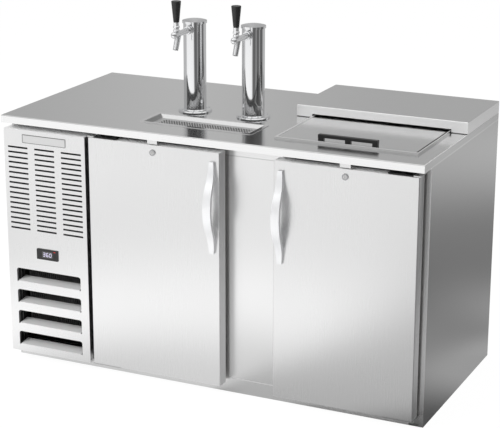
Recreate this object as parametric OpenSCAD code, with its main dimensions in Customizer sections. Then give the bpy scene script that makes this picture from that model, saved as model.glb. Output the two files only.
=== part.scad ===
// Draft beer cooler: a two-door refrigerated cabinet with two beer towers,
// a drip tray and a sliding top lid. Millimetres, front towards -Y, Z up.
// The origin is on the floor at the centre of the cabinet's footprint.

/* [Cabinet] */
// Overall width of the cabinet and the worktop
cab_w = 1499; // [1480:1:1600]
// Depth of the worktop, front to back
cab_d = 750; // [730:1:850]
// Distance of the cabinet's face behind the worktop's front edge
face_set = 67; // [60:1:75]
// Thickness of the insulated rear and right walls
wall_t = 50; // [40:1:60]
// Thickness of the insulated bulkhead beside the machine bay
bulkhead_t = 64; // [50:1:80]
// Thickness of the insulated floor
floor_t = 40; // [30:1:50]
// Thickness of the insulated ceiling
ceiling_t = 50; // [40:1:60]
// Height of the base pan and of the bottom rail
base_h = 49; // [40:1:60]
// Depth of the face rails and of the mullion
rail_d = 50; // [40:1:60]
// Depth of the bottom rail
bottom_rail_d = 40; // [30:1:60]
// Height of the top rail
top_rail_h = 63; // [58:1:70]
// Height of the seam above the mullion, below the worktop
mullion_seam = 37.5; // [30:0.5:45]
// Thickness of the bent sheet steel
sheet_t = 1.5; // [1:0.1:2]
// Width of the front flange of the left side panel
side_flange = 28; // [20:1:40]
// Radius of the tapped holes for legs or casters
leg_hole_r = 5.5; // [4:0.5:8]
// Depth of the tapped holes for legs or casters
leg_hole_depth = 30; // [20:1:38]
// Distance of the leg holes from the ends and the rails of the base
leg_inset = 80; // [60:1:120]
// Radius of the gas line port in the rear wall
gas_port_r = 12.5; // [8:0.5:20]
// Height of the gas line port below the worktop
gas_port_drop = 180; // [120:5:300]
// Distance of the gas line port from the right side
gas_port_side = 190; // [150:5:300]

/* [Worktop] */
// Thickness of the worktop's edge
top_t = 26; // [20:1:34]
// Radius of the worktop's top edges
top_edge_r = 2.5; // [1:0.5:5]

/* [Grille panel] */
// Width of the front grille of the machine bay
grille_w = 314; // [300:1:330]
// Gap between the front grille and the cabinet's left side
grille_side_gap = 2.5; // [1:0.5:5]
// Height of the front grille
grille_h = 796.5; // [780:0.5:800]
// Gap between the front grille and the worktop
grille_head = 21; // [15:0.5:30]
// Height of the front grille's lower edge above the floor
grille_z = 35.5; // [25:0.5:45]
// Width of the grille's turned-in rear flange
grille_flange = 12; // [8:1:14]
// Length of one louvre slot
slot_w = 77; // [60:1:85]
// Height of one louvre slot
slot_h = 6; // [4:0.5:8]
// Number of slot columns
slot_cols = 3; // [2:1:3]
// Number of slot rows
slot_rows = 17; // [10:1:17]
// Spacing of the slot columns
slot_col_pitch = 103.6; // [95:0.1:104]
// Spacing of the slot rows
slot_pitch = 17.8; // [14:0.1:18]
// Distance of the top slot row below the grille's top edge
slot_drop = 62; // [40:1:75]
// Width of one vent
vent_w = 253; // [220:1:260]
// Height of one vent
vent_h = 46.5; // [35:0.5:50]
// Radius of a vent's upper corners
vent_r = 9; // [4:1:12]
// Number of vents
vent_n = 4; // [2:1:4]
// Spacing of the vents
vent_pitch = 77.5; // [70:0.5:78]
// Height of the lowest vent above the grille's lower edge
vent_lift = 26; // [20:1:30]
// Depth of the tab bent in at the foot of each vent
scoop_d = 45; // [30:1:48]
// Rise of the bent tab towards the back
scoop_rise = 6; // [2:1:10]
// Width of the controller's bezel
ctrl_w = 83; // [76:1:95]
// Height of the controller's bezel
ctrl_h = 37; // [32:0.2:40]
// Thickness of the controller's bezel
ctrl_t = 3.5; // [2.5:0.5:5]
// Height of the controller's centre above the grille's lower edge
ctrl_lift = 367.9; // [360:0.1:372]
// Depth of the controller's body behind the grille
ctrl_d = 55; // [40:1:70]
// Overlap of the controller's bezel on the grille, at each side
ctrl_lap = 5; // [3:0.5:6]
// Distance of the buttons from the bezel's ends
button_in = 13; // [10:0.5:15]
// Width of one controller button
button_w = 6; // [4:0.5:8]
// Height of one controller button
button_h = 5; // [3:0.5:7]
// How far a button stands out of the bezel
button_out = 1; // [0.9:0.1:1.5]

/* [Doors] */
// Width of a door
door_w = 481; // [460:1:490]
// Height of a door
door_h = 795.4; // [770:0.2:800]
// Thickness of a door without its gasket
door_t = 42; // [36:1:48]
// Gap between the doors and the worktop
door_head = 18.6; // [16:0.2:30]
// Height of a door's lower edge above the floor
door_z = 39; // [30:1:45]
// Distance of the door fronts behind the worktop's front edge
door_set = 10; // [6:1:14]
// Radius of a door's front edges
door_edge_r = 3; // [1:0.5:5]
// Gap between the front grille and the left door
door_gap = 13.5; // [10:0.5:20]
// Gap between the right door and the cabinet's right side
door_side_gap = 18; // [14:0.5:24]
// Distance of the hinge axis from a door's outer edge and front
hinge_in = 14; // [12:0.5:16]
// Radius of a hinge pin
hinge_pin_r = 4.95; // [3.5:0.05:6]
// Length of a hinge pin inside the door
hinge_pin_len = 25; // [15:1:35]
// Thickness of a hinge bracket
hinge_t = 3; // [2:0.5:4]
// Gap between a hinge bracket and the door
hinge_gap = 2; // [1:0.5:2.5]
// Length of a hinge bracket along the door
hinge_w = 106; // [60:1:120]
// Distance of a hinge bracket's outer end from its pin
hinge_end = 17; // [14:0.5:17.5]
// Distance of the gasket from a door's edges
gasket_in = 16; // [15:0.5:20]
// Width of the gasket
gasket_w = 18; // [12:1:20]
// Width of the frame that shows inside the gasket
seal_land = 6; // [2:1:10]
// Depth of the dish in a door's inner face
dish_d = 6; // [3:1:10]
// Length of a door handle
handle_len = 306; // [260:1:340]
// How far a door handle stands out
handle_out = 47; // [40:1:55]
// Thickness of a door handle at its middle
handle_t = 12; // [8:1:16]
// Length of one foot of a door handle
handle_foot = 51; // [40:1:60]
// Width of a door handle at its middle
handle_mid_w = 28; // [22:1:34]
// Width of a door handle at its ends
handle_end_w = 15.5; // [10:0.5:18]
// How far a door handle's ends stand out
handle_end_out = 10; // [6:1:16]
// Distance of a door handle's middle line from the door's free edge
handle_in = 25; // [22:1:40]
// Distance of a door handle's top end below the door's top
handle_drop = 29.4; // [20:0.2:60]
// Distance of the lock below the door's top
lock_drop = 25; // [22:1:35]
// Radius of the lock barrel
lock_r = 9.5; // [8:0.5:11]
// Radius of the key plug
plug_r = 6; // [4:0.5:7]
// Length of the lock barrel inside the door
lock_len = 30; // [20:1:33]
// Thickness of the lock's face ring
lock_ring_t = 2.5; // [1.5:0.5:4]
// Thickness of a strike tab
strike_t = 2; // [1.5:0.5:3]
// Depth of a strike tab's foot under the worktop
strike_d = 26; // [15:1:40]
// Width of a strike tab
strike_w = 36; // [28:1:44]
// Gap between a strike tab and the door's top
strike_gap = 4.6; // [3:0.2:8]

/* [Hood and lid] */
// Width of the rear hood
hood_w = 595; // [580:1:620]
// Depth of the rear hood
hood_d = 339; // [325:1:360]
// Height of the rear hood
hood_h = 40; // [30:1:60]
// Width of the slot in the hood's front
hood_slot_w = 485; // [470:1:500]
// Height of the slot in the hood's front
hood_slot_h = 12.5; // [11:0.5:16]
// Radius of the hood's upper edges
hood_edge_r = 3; // [2:0.5:5]
// Width of one rail of the lid track
track_w = 8; // [6:0.5:10]
// Height of the lid track
track_h = 6.5; // [5:0.5:8]
// Width of the ledge that the lid slides on
ledge_w = 8; // [5:0.5:12]
// Thickness of the ledge that the lid slides on
ledge_t = 1.5; // [1:0.1:2]
// Clearance beside the track and beside the lid
track_gap = 2; // [1:0.5:3]
// Distance of the track's front behind the worktop's front edge
track_set = 101; // [90:1:110]
// Length of the lid, front to back
lid_d = 322; // [318:1:330]
// Distance of the opening behind the lid's ledge
throat_set = 18; // [14:1:30]
// Width of the opening under the lid
throat_w = 424; // [400:1:432]
// Depth of the opening under the lid
throat_d = 270; // [250:1:275]
// Length of the lid's bar handle
bar_len = 200; // [160:1:240]
// Depth of the lid's bar handle
bar_d = 15; // [12:0.5:18]
// Thickness of the bar
bar_t = 10.5; // [6:0.5:12]
// Height of the bar handle above the lid
bar_h = 18.5; // [16:0.5:24]
// Width of one foot of the bar handle
bar_foot_w = 18; // [12:1:24]
// Distance of the bar handle behind the lid's front edge
bar_set = 11; // [8:1:20]

/* [Drip tray] */
// Width of the drip tray's rim
tray_w = 411; // [380:1:440]
// Depth of the drip tray's rim
tray_d = 147; // [130:1:155]
// Distance of the drip tray behind the worktop's front edge
tray_set = 110; // [100:1:115]
// Width of the tray's flange
tray_flange = 12; // [6:0.5:14]
// Thickness of the tray's flange
tray_flange_t = 1.5; // [1:0.1:2]
// Thickness of the tray's walls and floor
tray_wall = 1.2; // [0.8:0.1:1.6]
// Depth of the tray below the worktop
tray_depth = 20; // [18:1:22]
// How far the tray's walls lean in over their depth
tray_lean = 10; // [5:1:14]
// Radius of the rim's corners
tray_r = 14; // [6:1:20]
// Depth of the perforated grille below the worktop
drip_drop = 12; // [8:1:14]
// Thickness of the perforated grille
drip_t = 1.2; // [0.8:0.1:2]
// Clearance between the perforated grille and the tray's walls
drip_gap = 1; // [0.5:0.1:2]
// Radius of one hole of the perforated grille
drip_hole_r = 3.2; // [2:0.1:3.5]
// Spacing of the holes along a row
drip_pitch = 9.5; // [8:0.5:12]
// Spacing of the rows of holes
drip_row_pitch = 8.25; // [7.5:0.25:12]
// Plain margin round the field of holes
drip_margin = 22; // [16:1:30]
// Outer radius of the drain's tail pipe
drain_r = 10; // [8:0.5:12]
// Room round the drain's tail pipe in the ceiling
drain_room = 4; // [3:0.5:8]
// Wall of the drain's tail pipe
drain_wall = 2; // [1.5:0.1:3]
// Length of the drain's tail pipe below the tray
drain_len = 95; // [85:1:120]

/* [Towers] */
// Distance between the two towers
tower_gap = 216.5; // [180:0.5:250]
// Middle of the two towers, right of the cabinet's centre
tower_x = -79; // [-100:1:-60]
// Distance of the towers behind the worktop's front edge
tower_set = 333.5; // [315:0.5:345]
// Outer radius of a tower's tube
tower_r = 38.1; // [36:0.1:42]
// Wall of a tower's tube
tower_wall = 1.5; // [1.2:0.1:2]
// Height of a tower's tube above the worktop
tower_h = 309; // [290:1:340]
// Radius of a tower's foot flange
foot_r = 57; // [52:0.5:62]
// Thickness of a tower's foot flange
foot_t = 7; // [4:0.5:9]
// Overhang of a tower's cap
cap_over = 3.5; // [2:0.5:5]
// Height of a tower cap's rim
cap_rim = 7.5; // [5:0.5:9.5]
// Length of the plug under a tower's cap
cap_plug = 3; // [2:0.5:5]
// Rise of a tower cap's domed top
cap_rise = 6; // [3:0.5:9]
// Radius of the way for the beer line below each tower
line_hole_r = 28; // [24:1:32]
// Distance of a faucet's axis below the top of the tower's tube
faucet_drop = 26; // [24:0.5:40]
// Outer radius of a faucet shank
shank_r = 11; // [10:0.5:12]
// Radius of the beer way in a shank
shank_bore_r = 4; // [3:0.5:5]
// Radius of a shank's outer collar
collar_r = 15.5; // [15:0.5:16]
// Length of a shank's outer collar
collar_t = 7; // [5:0.5:9]
// Length of a shank behind the front of the tower's tube
shank_tail = 45; // [35:1:60]
// Radius of a faucet's coupling nut
nut_r = 14.5; // [14:0.5:17]
// Length of a faucet's coupling nut
nut_len = 14; // [12:0.5:16]
// Outer radius of a faucet's barrel at its nose
barrel_r = 9.3; // [8:0.1:9.4]
// Outer radius of a faucet's barrel at its coupling nut
barrel_root_r = 10; // [9.4:0.1:10.2]
// Inner radius of a faucet's barrel
barrel_bore_r = 5.2; // [5:0.1:5.4]
// Radius of the round nose of a faucet
nose_r = 11; // [9.5:0.5:12]
// Distance of a faucet's lever in front of the tower's axis
lever_out = 131; // [126:1:138]
// Distance of a faucet's nose in front of its lever
nose_out = 16.5; // [16:0.5:20]
// Height of the lever's pivot above the faucet's axis
pivot_h = 17; // [16.5:0.1:18]
// Radius of the lever's ball
ball_r = 6.5; // [6:0.1:7]
// Distance of the spout's root behind the lever
spout_back = 14; // [10:1:18]
// Drop of the spout's tip below the faucet's axis
spout_drop = 50; // [42:1:58]
// How far the spout leans forward over that drop
spout_lean = 22; // [15:1:28]
// Outer radius of the spout's tip
spout_r = 9; // [7:0.1:9.5]
// Radius of the spout's bore
spout_bore_r = 4.8; // [4:0.1:5.2]
// Height of the lever's ferrule top above the pivot
ferrule_h = 24; // [20:1:30]
// Radius of the lever's ferrule
ferrule_r = 9.2; // [7:0.1:9.5]
// Length of a tap handle
tap_len = 70; // [60:1:90]
// Radius of a tap handle's foot
tap_foot_r = 9.6; // [9:0.1:11]
// Radius of a tap handle's top
tap_top_r = 16.2; // [14:0.1:19]

/* [Cooling machine] */
// Width of the condenser coil
cond_w = 275; // [250:1:280]
// Height of the condenser coil
cond_h = 296; // [280:1:310]
// Depth of the condenser coil
cond_d = 50; // [40:1:60]
// Distance of the condenser coil behind the cabinet's face
cond_set = 48; // [44:1:60]
// Spacing of the coils' fins
fin_pitch = 8; // [6:0.5:10]
// Depth of the grooves between the coils' fins
fin_groove = 12; // [6:1:16]
// Depth of the condenser fan's shroud
shroud_d = 55; // [50:1:65]
// Radius of the condenser fan
cond_fan_r = 112; // [100:1:118]
// Radius of the compressor's shell
comp_r = 82; // [70:1:95]
// Height of the compressor's shell
comp_h = 210; // [180:5:250]
// Distance of the compressor's axis from the cabinet's back
comp_set = 175; // [150:5:200]
// Distance of a fan behind the mouth that it blows through
fan_set = 8; // [6:1:12]
// Pitch of the fan blades
blade_pitch = 28; // [20:1:35]
// Distance of the evaporator's cover below the ceiling
evap_drop = 8; // [4:1:20]
// Depth of the evaporator's coil
evap_coil_d = 30; // [24:1:34]
// Distance of the evaporator's coil from its cover
evap_coil_in = 20; // [10:1:30]
// Depth of the evaporator's cover, out of the bulkhead
evap_d = 110; // [105:1:130]
// Width of the evaporator's cover
evap_w = 320; // [280:5:360]
// Height of the evaporator's cover
evap_h = 260; // [230:5:280]
// Distance of the evaporator's middle behind the cabinet's middle
evap_y = 100; // [60:5:120]
// Radius of the evaporator's fan
evap_fan_r = 78; // [65:1:85]
// Number of blades on each fan
blade_n = 5; // [3:1:6]
// Radius of the power cord gland's bore
gland_r = 6; // [4:0.5:8]
// Distance of the power cord gland from the bulkhead
gland_side = 40; // [30:1:60]
// Height of the power cord gland above the base
gland_lift = 60; // [30:1:120]

/* [Hidden] */
$fn = 64;
// Small gap between round pieces that sit in each other
fit_gap = 0.3;
// Running clearance of pins and shafts
run_gap = 0.05;
// Cutting tools reach this far past the face that they cut
over = 1;

left = -cab_w / 2;
right = cab_w / 2;
front = -cab_d / 2;
back = cab_d / 2;
face = front + face_set;
// The cabinet is as high as its doors or its grille need it, up to the worktop's underside
door_top = door_z + door_h;
cab_h = max(door_top + door_head, grille_z + grille_h + grille_head);
top_z = cab_h + top_t;
// Insulated box
inner_right = right - wall_t;
inner_back = back - wall_t;
floor_top = base_h + floor_t;
ceiling_low = cab_h - ceiling_t;
// Grille and doors
grille_left = left + grille_side_gap;
grille_right = grille_left + grille_w;
bulk_left = grille_right - grille_flange - over;
bulk_right = bulk_left + bulkhead_t;
door_front = front + door_set;
door_back = door_front + door_t;
gasket_t = face - door_back;
left_door_x = grille_right + door_gap;
right_door_x = right - door_side_gap - door_w;
door_lap = gasket_in + gasket_w + seal_land;
mullion_left = left_door_x + door_w - door_lap;
mullion_right = right_door_x + door_lap;
mullion_top = cab_h - mullion_seam;
lock_z = door_top - lock_drop;
hinge_y = door_front + hinge_in;
// Lid, track and hood
hood_front = back - hood_d;
lid_x = right - hood_w / 2;
track_out_w = hood_slot_w - 2 * track_gap;
track_front = front + track_set;
lid_front = track_front + track_w + track_gap / 2;
lid_w = track_out_w - 2 * track_w - track_gap;
lid_z = top_z + ledge_t;
lid_top = top_z + track_h;
throat_front = track_front + track_w + ledge_w + throat_set;
// Tray and towers
tray_x = tower_x;
tray_front = front + tray_set;
tray_y = tray_front + tray_d / 2;
pan_w = tray_w - 2 * tray_flange;
pan_d = tray_d - 2 * tray_flange;
pan_floor = top_z - tray_depth;
tower_y = front + tower_set;
faucet_h = tower_h - faucet_drop;
faucet_z = top_z + faucet_h;
pivot_z = faucet_z + pivot_h;
lever_y = tower_y - lever_out;
nose_y = lever_y - nose_out;
collar_saddle = 2;
collar_front = tower_y - tower_r - collar_t + collar_saddle;
nut_front = collar_front - nut_len;
nut_chamfer = 2;
nut_lip = 2.5;
tail_flange_t = 5;
shank_front = nut_front + nut_lip + tail_flange_t;
guide_r = 3;
// Line of the spout, from its root on the faucet's axis to its tip
spout_len = sqrt(spout_drop * spout_drop + spout_lean * spout_lean);
spout_tilt = atan2(spout_lean, spout_drop);
spout_swell = 1;
// Lever's ball, its seat and the finger below it that moves the valve shaft
lever_throw = 30;
ball_gap = 0.1;
ball_clear = 0.4;
boss_wall = 1.7;
boss_r = ball_r + boss_wall;
boss_top = pivot_h - ball_r - ball_clear;
finger_r = 2.2;
finger_len = 16;
finger_gap = 0.6;
// Perforated grille, narrower than the tray's leaning walls at its height
lean_rate = tray_lean / (tray_depth + tray_flange_t - tray_wall);
drip_in = tray_wall + lean_rate * (drip_drop + tray_flange_t) + drip_gap;
drip_w = pan_w - 2 * drip_in;
drip_d = pan_d - 2 * drip_in;
// Machine bay
bay_x = (left + sheet_t + bulk_left) / 2;
cond_front = face + cond_set;
shroud_front = cond_front + cond_d;
shroud_back = shroud_front + shroud_d;
cond_axis_z = base_h + cond_h / 2;
motor_shaft_r = 4;
cond_hub_r = 32;
evap_hub_r = 24;
fan_depth = 30;
cond_fan_y = shroud_back - fan_depth - fan_set;
evap_z = ceiling_low - evap_h / 2 - evap_drop;
evap_fan_depth = 24;
evap_fan_low = evap_d - fan_set - evap_fan_depth;
// Power cord gland
gland_x = bulk_left - gland_side;
gland_z = base_h + gland_lift;
gland_flange_t = 3;
gland_flange_w = 8;
gland_wall = 4;
gland_neck = 8;
// Controller's cut-out and buttons
cut_w = ctrl_w - 2 * ctrl_lap;
cut_h = ctrl_h - ctrl_lap;
button_drop = 3;
button_room = 0.2;
button_well = 2 * ctrl_t;

// Shared shapes

// A block between two opposite corners
module block(low, high) {
    translate(low) cube(high - low);
}

// A rectangle with round corners, centred
module round_rect(w, h, r) {
    square([w - 2 * r, h], center = true);
    square([w, h - 2 * r], center = true);
    for (sx = [-1, 1], sy = [-1, 1])
        translate([sx * (w / 2 - r), sy * (h / 2 - r)]) circle(r);
}

// A rectangle that stands on the first axis, with its two upper corners round
module round_top(w, h, r) {
    translate([-w / 2, 0]) square([w, h - r]);
    translate([-w / 2 + r, 0]) square([w - 2 * r, h]);
    for (side = [-1, 1])
        translate([side * (w / 2 - r), h - r]) circle(r);
}

// A slab with its four upper edges round, standing on z = 0 and centred on it
module soft_slab(w, d, h, r) {
    intersection() {
        translate([0, d / 2, 0]) rotate([90, 0, 0]) linear_extrude(d) round_top(w, h, r);
        translate([-w / 2, 0, 0]) rotate([90, 0, 90]) linear_extrude(w) round_top(d, h, r);
    }
}

// A pyramid stump with a rectangular plan, from z = -h up to z = 0
module stump(w, d, h, lean) {
    intersection() {
        translate([0, d / 2, 0]) rotate([90, 0, 0]) linear_extrude(d)
            polygon([[-w / 2, 0], [w / 2, 0], [w / 2 - lean, -h], [lean - w / 2, -h]]);
        translate([-w / 2, 0, 0]) rotate([90, 0, 90]) linear_extrude(w)
            polygon([[-d / 2, 0], [d / 2, 0], [d / 2 - lean, -h], [lean - d / 2, -h]]);
    }
}

// A round bar along +Y from a point
module bar_y(x, y, z, r, len) {
    translate([x, y, z]) rotate([-90, 0, 0]) cylinder(r = r, h = len);
}

// Place of a tower along X
function tower_pos(side) = tower_x + side * tower_gap / 2;

// The slot field of a louvred sheet, centred on X, going down from z = 0
module slot_field(cols, rows) {
    for (c = [0 : cols - 1], r = [0 : rows - 1])
        translate([(c - (cols - 1) / 2) * slot_col_pitch, -r * slot_pitch])
            square([slot_w, slot_h], center = true);
}

// Comb outline of a finned block, centred, with grooves in the long sides that are given
module fin_comb(w, d, sides) {
    fins = floor((w - fin_pitch) / fin_pitch);
    difference() {
        square([w, d], center = true);
        for (i = [0 : fins - 1], side = sides)
            translate([(i - (fins - 1) / 2) * fin_pitch, side * (d - fin_groove + over) / 2])
                square([fin_pitch / 2, fin_groove + over], center = true);
    }
}

// An axial fan along +Z: a hub on its shaft and pitched blades
module axial_fan(r, hub_r, depth) {
    blade_t = 2;
    blade_w = 0.62 * r;
    difference() {
        union() {
            cylinder(r = hub_r, h = depth);
            intersection() {
                cylinder(r = r, h = depth);
                for (i = [0 : blade_n - 1])
                    rotate([0, 0, i * 360 / blade_n]) translate([r / 2, 0, depth / 2])
                        rotate([blade_pitch, 0, 0]) cube([r + 2 * over, blade_w, blade_t], center = true);
            }
        }
        translate([0, 0, -over]) cylinder(r = motor_shaft_r + run_gap, h = depth + 2 * over);
    }
}

// Cabinet

module base_pan() {
    color("gainsboro") difference() {
        block([left + sheet_t, face + bottom_rail_d, 0], [inner_right, back, base_h]);
        for (x = [left + leg_inset, right - leg_inset])
            for (y = [face + bottom_rail_d + leg_inset, back - leg_inset])
                translate([x, y, -over]) cylinder(r = leg_hole_r, h = leg_hole_depth + over);
    }
}

module left_side_panel() {
    color("silver") {
        block([left, face, 0], [left + sheet_t, back, cab_h]);
        block([left, face, base_h], [left + side_flange, face + sheet_t, cab_h]);
    }
}

module right_wall() {
    color("silver") block([inner_right, face, 0], [right, back, cab_h]);
}

module rear_wall() {
    color("silver") difference() {
        block([bulk_left, inner_back, base_h], [inner_right, back, cab_h]);
        bar_y(right - gas_port_side, inner_back - over, cab_h - gas_port_drop,
              gas_port_r, wall_t + 2 * over);
    }
}

module bulkhead() {
    color("whitesmoke") block([bulk_left, face, base_h], [bulk_right, inner_back, cab_h]);
}

module mullion_block() {
    block([mullion_left, face, base_h], [mullion_right, face + rail_d, mullion_top]);
}

module mullion() {
    color("silver") mullion_block();
}

module insulated_floor() {
    color("whitesmoke") difference() {
        block([bulk_right, face, base_h], [inner_right, inner_back, floor_top]);
        mullion_block();
    }
}

// The ways through worktop and ceiling: lid throat and beer lines
module top_ways() {
    translate([lid_x - throat_w / 2, throat_front, 0]) cube([throat_w, throat_d, top_z + over]);
    for (side = [-1, 1])
        translate([tower_pos(side), tower_y, 0]) cylinder(r = line_hole_r, h = top_z + over);
}

module insulated_ceiling() {
    color("whitesmoke") difference() {
        block([bulk_right, face + rail_d, ceiling_low], [inner_right, inner_back, cab_h]);
        top_ways();
        translate([tray_x, tray_y, 0]) cylinder(r = drain_r + drain_room, h = top_z);
    }
}

module front_rails() {
    color("silver") {
        block([left + sheet_t, face, 0], [inner_right, face + bottom_rail_d, base_h]);
        difference() {
            block([bulk_right, face, cab_h - top_rail_h], [inner_right, face + rail_d, cab_h]);
            mullion_block();
        }
    }
}

module rear_grille() {
    color("silver") translate([0, back, 0]) rotate([90, 0, 0]) linear_extrude(sheet_t) difference() {
        translate([left + sheet_t, base_h]) square([bulk_left - left - sheet_t, cab_h - base_h]);
        translate([bay_x, cab_h - slot_drop]) slot_field(2, slot_rows);
        translate([bay_x, cab_h / 2 - slot_drop]) slot_field(2, slot_rows - 2);
        translate([gland_x, gland_z]) circle(gland_r + gland_wall);
    }
}

module power_gland() {
    color("dimgray") translate([gland_x, back, gland_z]) rotate([90, 0, 0])
        rotate_extrude() {
            translate([gland_r, -gland_flange_t]) square([gland_flange_w, gland_flange_t]);
            translate([gland_r, -gland_flange_t])
                square([gland_wall - fit_gap, gland_flange_t + sheet_t + gland_neck]);
        }
}

// Worktop, hood and lid

module worktop() {
    color("lightgray") difference() {
        translate([0, 0, cab_h]) soft_slab(cab_w, cab_d, top_t, top_edge_r);
        top_ways();
        translate([tray_x, tray_y, cab_h + top_t / 2])
            cube([pan_w + 2 * fit_gap, pan_d + 2 * fit_gap, top_t + 2 * over], center = true);
    }
}

module hood() {
    color("lightgray") translate([lid_x, hood_front + hood_d / 2, top_z]) difference() {
        soft_slab(hood_w, hood_d, hood_h, hood_edge_r);
        translate([sheet_t - hood_w / 2, sheet_t - hood_d / 2, -over])
            cube([hood_w - 2 * sheet_t, hood_d - 2 * sheet_t, hood_h - sheet_t + over]);
        translate([-hood_slot_w / 2, -hood_d / 2 - over, -over])
            cube([hood_slot_w, sheet_t + 2 * over, hood_slot_h + over]);
    }
}

module lid_track() {
    track_back = back - sheet_t - track_gap;
    outer = track_out_w / 2;
    inner = outer - track_w;
    color("whitesmoke") for (side = [0, 1]) translate([lid_x, 0, 0]) mirror([side, 0, 0]) {
        block([inner, track_front, top_z], [outer, track_back, lid_top]);
        block([inner - ledge_w, track_front, top_z], [inner, track_back, lid_z]);
        block([0, track_front, top_z], [outer, track_front + track_w, lid_top]);
    }
}

module lid() {
    color("lightgray")
        block([lid_x - lid_w / 2, lid_front, lid_z], [lid_x + lid_w / 2, lid_front + lid_d, lid_top]);
}

module lid_handle() {
    edge_r = 2;
    foot_h = bar_h - bar_t;
    foot_in = 3;
    color("black") translate([lid_x, lid_front + bar_set + bar_d / 2, lid_top]) {
        translate([0, 0, foot_h]) soft_slab(bar_len, bar_d, bar_t, edge_r);
        for (i = [-1, 0, 1])
            translate([i * (bar_len - bar_foot_w) / 2, 0, foot_h / 2])
                cube([bar_foot_w, bar_d - foot_in, foot_h], center = true);
    }
}

// Drip tray

module drip_tray() {
    bowl_depth = tray_depth + tray_flange_t - tray_wall;
    color("whitesmoke") translate([tray_x, tray_y, top_z]) difference() {
        union() {
            linear_extrude(tray_flange_t) round_rect(tray_w, tray_d, tray_r);
            stump(pan_w, pan_d, tray_depth, tray_lean);
        }
        translate([0, 0, tray_flange_t])
            stump(pan_w - 2 * tray_wall, pan_d - 2 * tray_wall, bowl_depth, tray_lean);
        translate([0, 0, -tray_depth - over]) cylinder(r = drain_r + fit_gap, h = tray_depth);
    }
}

module drip_grille() {
    cols = floor((drip_w - 2 * drip_margin) / drip_pitch);
    rows = floor((drip_d - 2 * drip_margin) / drip_row_pitch) + 1;
    foot_r = 3;
    foot_h = tray_depth - drip_drop - drip_t - tray_wall;
    color("silver") translate([tray_x, tray_y, top_z - drip_drop - drip_t]) {
        linear_extrude(drip_t) difference() {
            square([drip_w, drip_d], center = true);
            // Every other row is shifted by half a spacing
            for (r = [0 : rows - 1], c = [0 : cols - 1])
                translate([(c - cols / 2 + (r % 2 == 0 ? 0.25 : 0.75)) * drip_pitch,
                           (r - (rows - 1) / 2) * drip_row_pitch])
                    circle(drip_hole_r);
        }
        // Four feet stand on the tray's floor
        for (sx = [-1, 1], sy = [-1, 1])
            translate([sx * (drip_w - drip_margin) / 2, sy * (drip_d - drip_margin) / 2, -foot_h])
                cylinder(r = foot_r, h = foot_h);
    }
}

module drain_fitting() {
    flange_t = 2;
    flange_w = 6;
    nut_t = 6;
    nut_w = 3;
    tail_h = drain_len + tray_wall + flange_t;
    color("silver") translate([tray_x, tray_y, pan_floor]) difference() {
        union() {
            translate([0, 0, tray_wall]) cylinder(r = drain_r + flange_w, h = flange_t);
            translate([0, 0, -drain_len]) cylinder(r = drain_r, h = tail_h);
            translate([0, 0, -nut_t]) cylinder(r = drain_r + nut_w, h = nut_t, $fn = 6);
        }
        translate([0, 0, -drain_len - over]) cylinder(r = drain_r - drain_wall, h = tail_h + 2 * over);
    }
}

// Towers and faucets

module tower(side) {
    weld = 3;
    slope = foot_t / 2;
    color("silver") translate([tower_pos(side), tower_y, top_z]) difference() {
        union() {
            cylinder(r = tower_r, h = tower_h);
            cylinder(r = foot_r, h = foot_t - slope);
            translate([0, 0, foot_t - slope]) cylinder(r1 = foot_r, r2 = foot_r - slope, h = slope);
            translate([0, 0, foot_t]) cylinder(r1 = tower_r + weld, r2 = tower_r, h = weld);
        }
        translate([0, 0, -over]) cylinder(r = tower_r - tower_wall, h = tower_h + 2 * over);
        translate([0, 0, faucet_h]) rotate([90, 0, 0]) cylinder(r = shank_r + fit_gap, h = tower_r + over);
    }
}

module tower_cap(side) {
    cap_r = tower_r + cap_over;
    dome_r = (cap_r * cap_r + cap_rise * cap_rise) / (2 * cap_rise);
    color("silver") translate([tower_pos(side), tower_y, top_z + tower_h]) {
        // Domed top and the rim round the tube
        difference() {
            intersection() {
                translate([0, 0, -cap_rim]) cylinder(r = cap_r, h = cap_rim + cap_rise);
                translate([0, 0, cap_rise - dome_r]) sphere(dome_r, $fn = 200);
            }
            translate([0, 0, -cap_rim - over]) cylinder(r = tower_r + fit_gap, h = cap_rim + over);
        }
        translate([0, 0, -cap_plug]) cylinder(r = tower_r - tower_wall - fit_gap, h = cap_plug);
    }
}

module shank(side) {
    shank_back = tower_y - tower_r + shank_tail;
    color("silver") translate([tower_pos(side), 0, faucet_z]) difference() {
        union() {
            bar_y(0, shank_front, 0, shank_r, shank_back - shank_front);
            difference() {
                bar_y(0, collar_front, 0, collar_r, collar_t);
                translate([0, tower_y, -collar_r - over])
                    cylinder(r = tower_r + fit_gap, h = 2 * collar_r + 2 * over);
            }
        }
        bar_y(0, shank_front - over, 0, shank_bore_r, shank_back - shank_front + 2 * over);
    }
}

module faucet_nuts() {
    jam_t = 7;
    jam_wall = 5;
    jam_r = shank_r + jam_wall;
    bore = shank_r + fit_gap;
    rear = nut_len - fit_gap;
    jam_front = tower_y - sqrt(pow(tower_r - tower_wall, 2) - jam_r * jam_r) + fit_gap;
    color("silver") for (side = [-1, 1]) translate([tower_pos(side), 0, faucet_z]) {
        // Jam nut inside the tower
        difference() {
            translate([0, jam_front, 0]) rotate([-90, 30, 0]) cylinder(r = jam_r, h = jam_t, $fn = 6);
            bar_y(0, jam_front - over, 0, bore, jam_t + 2 * over);
        }
        // Coupling nut between shank and faucet
        translate([0, nut_front, 0]) rotate([-90, 0, 0]) rotate_extrude() polygon([
            [barrel_root_r + fit_gap, 0], [nut_r - nut_chamfer, 0], [nut_r, nut_chamfer],
            [nut_r, rear - nut_chamfer], [nut_r - nut_chamfer, rear],
            [bore, rear], [bore, nut_lip], [barrel_root_r + fit_gap, nut_lip]
        ]);
    }
}

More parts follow.
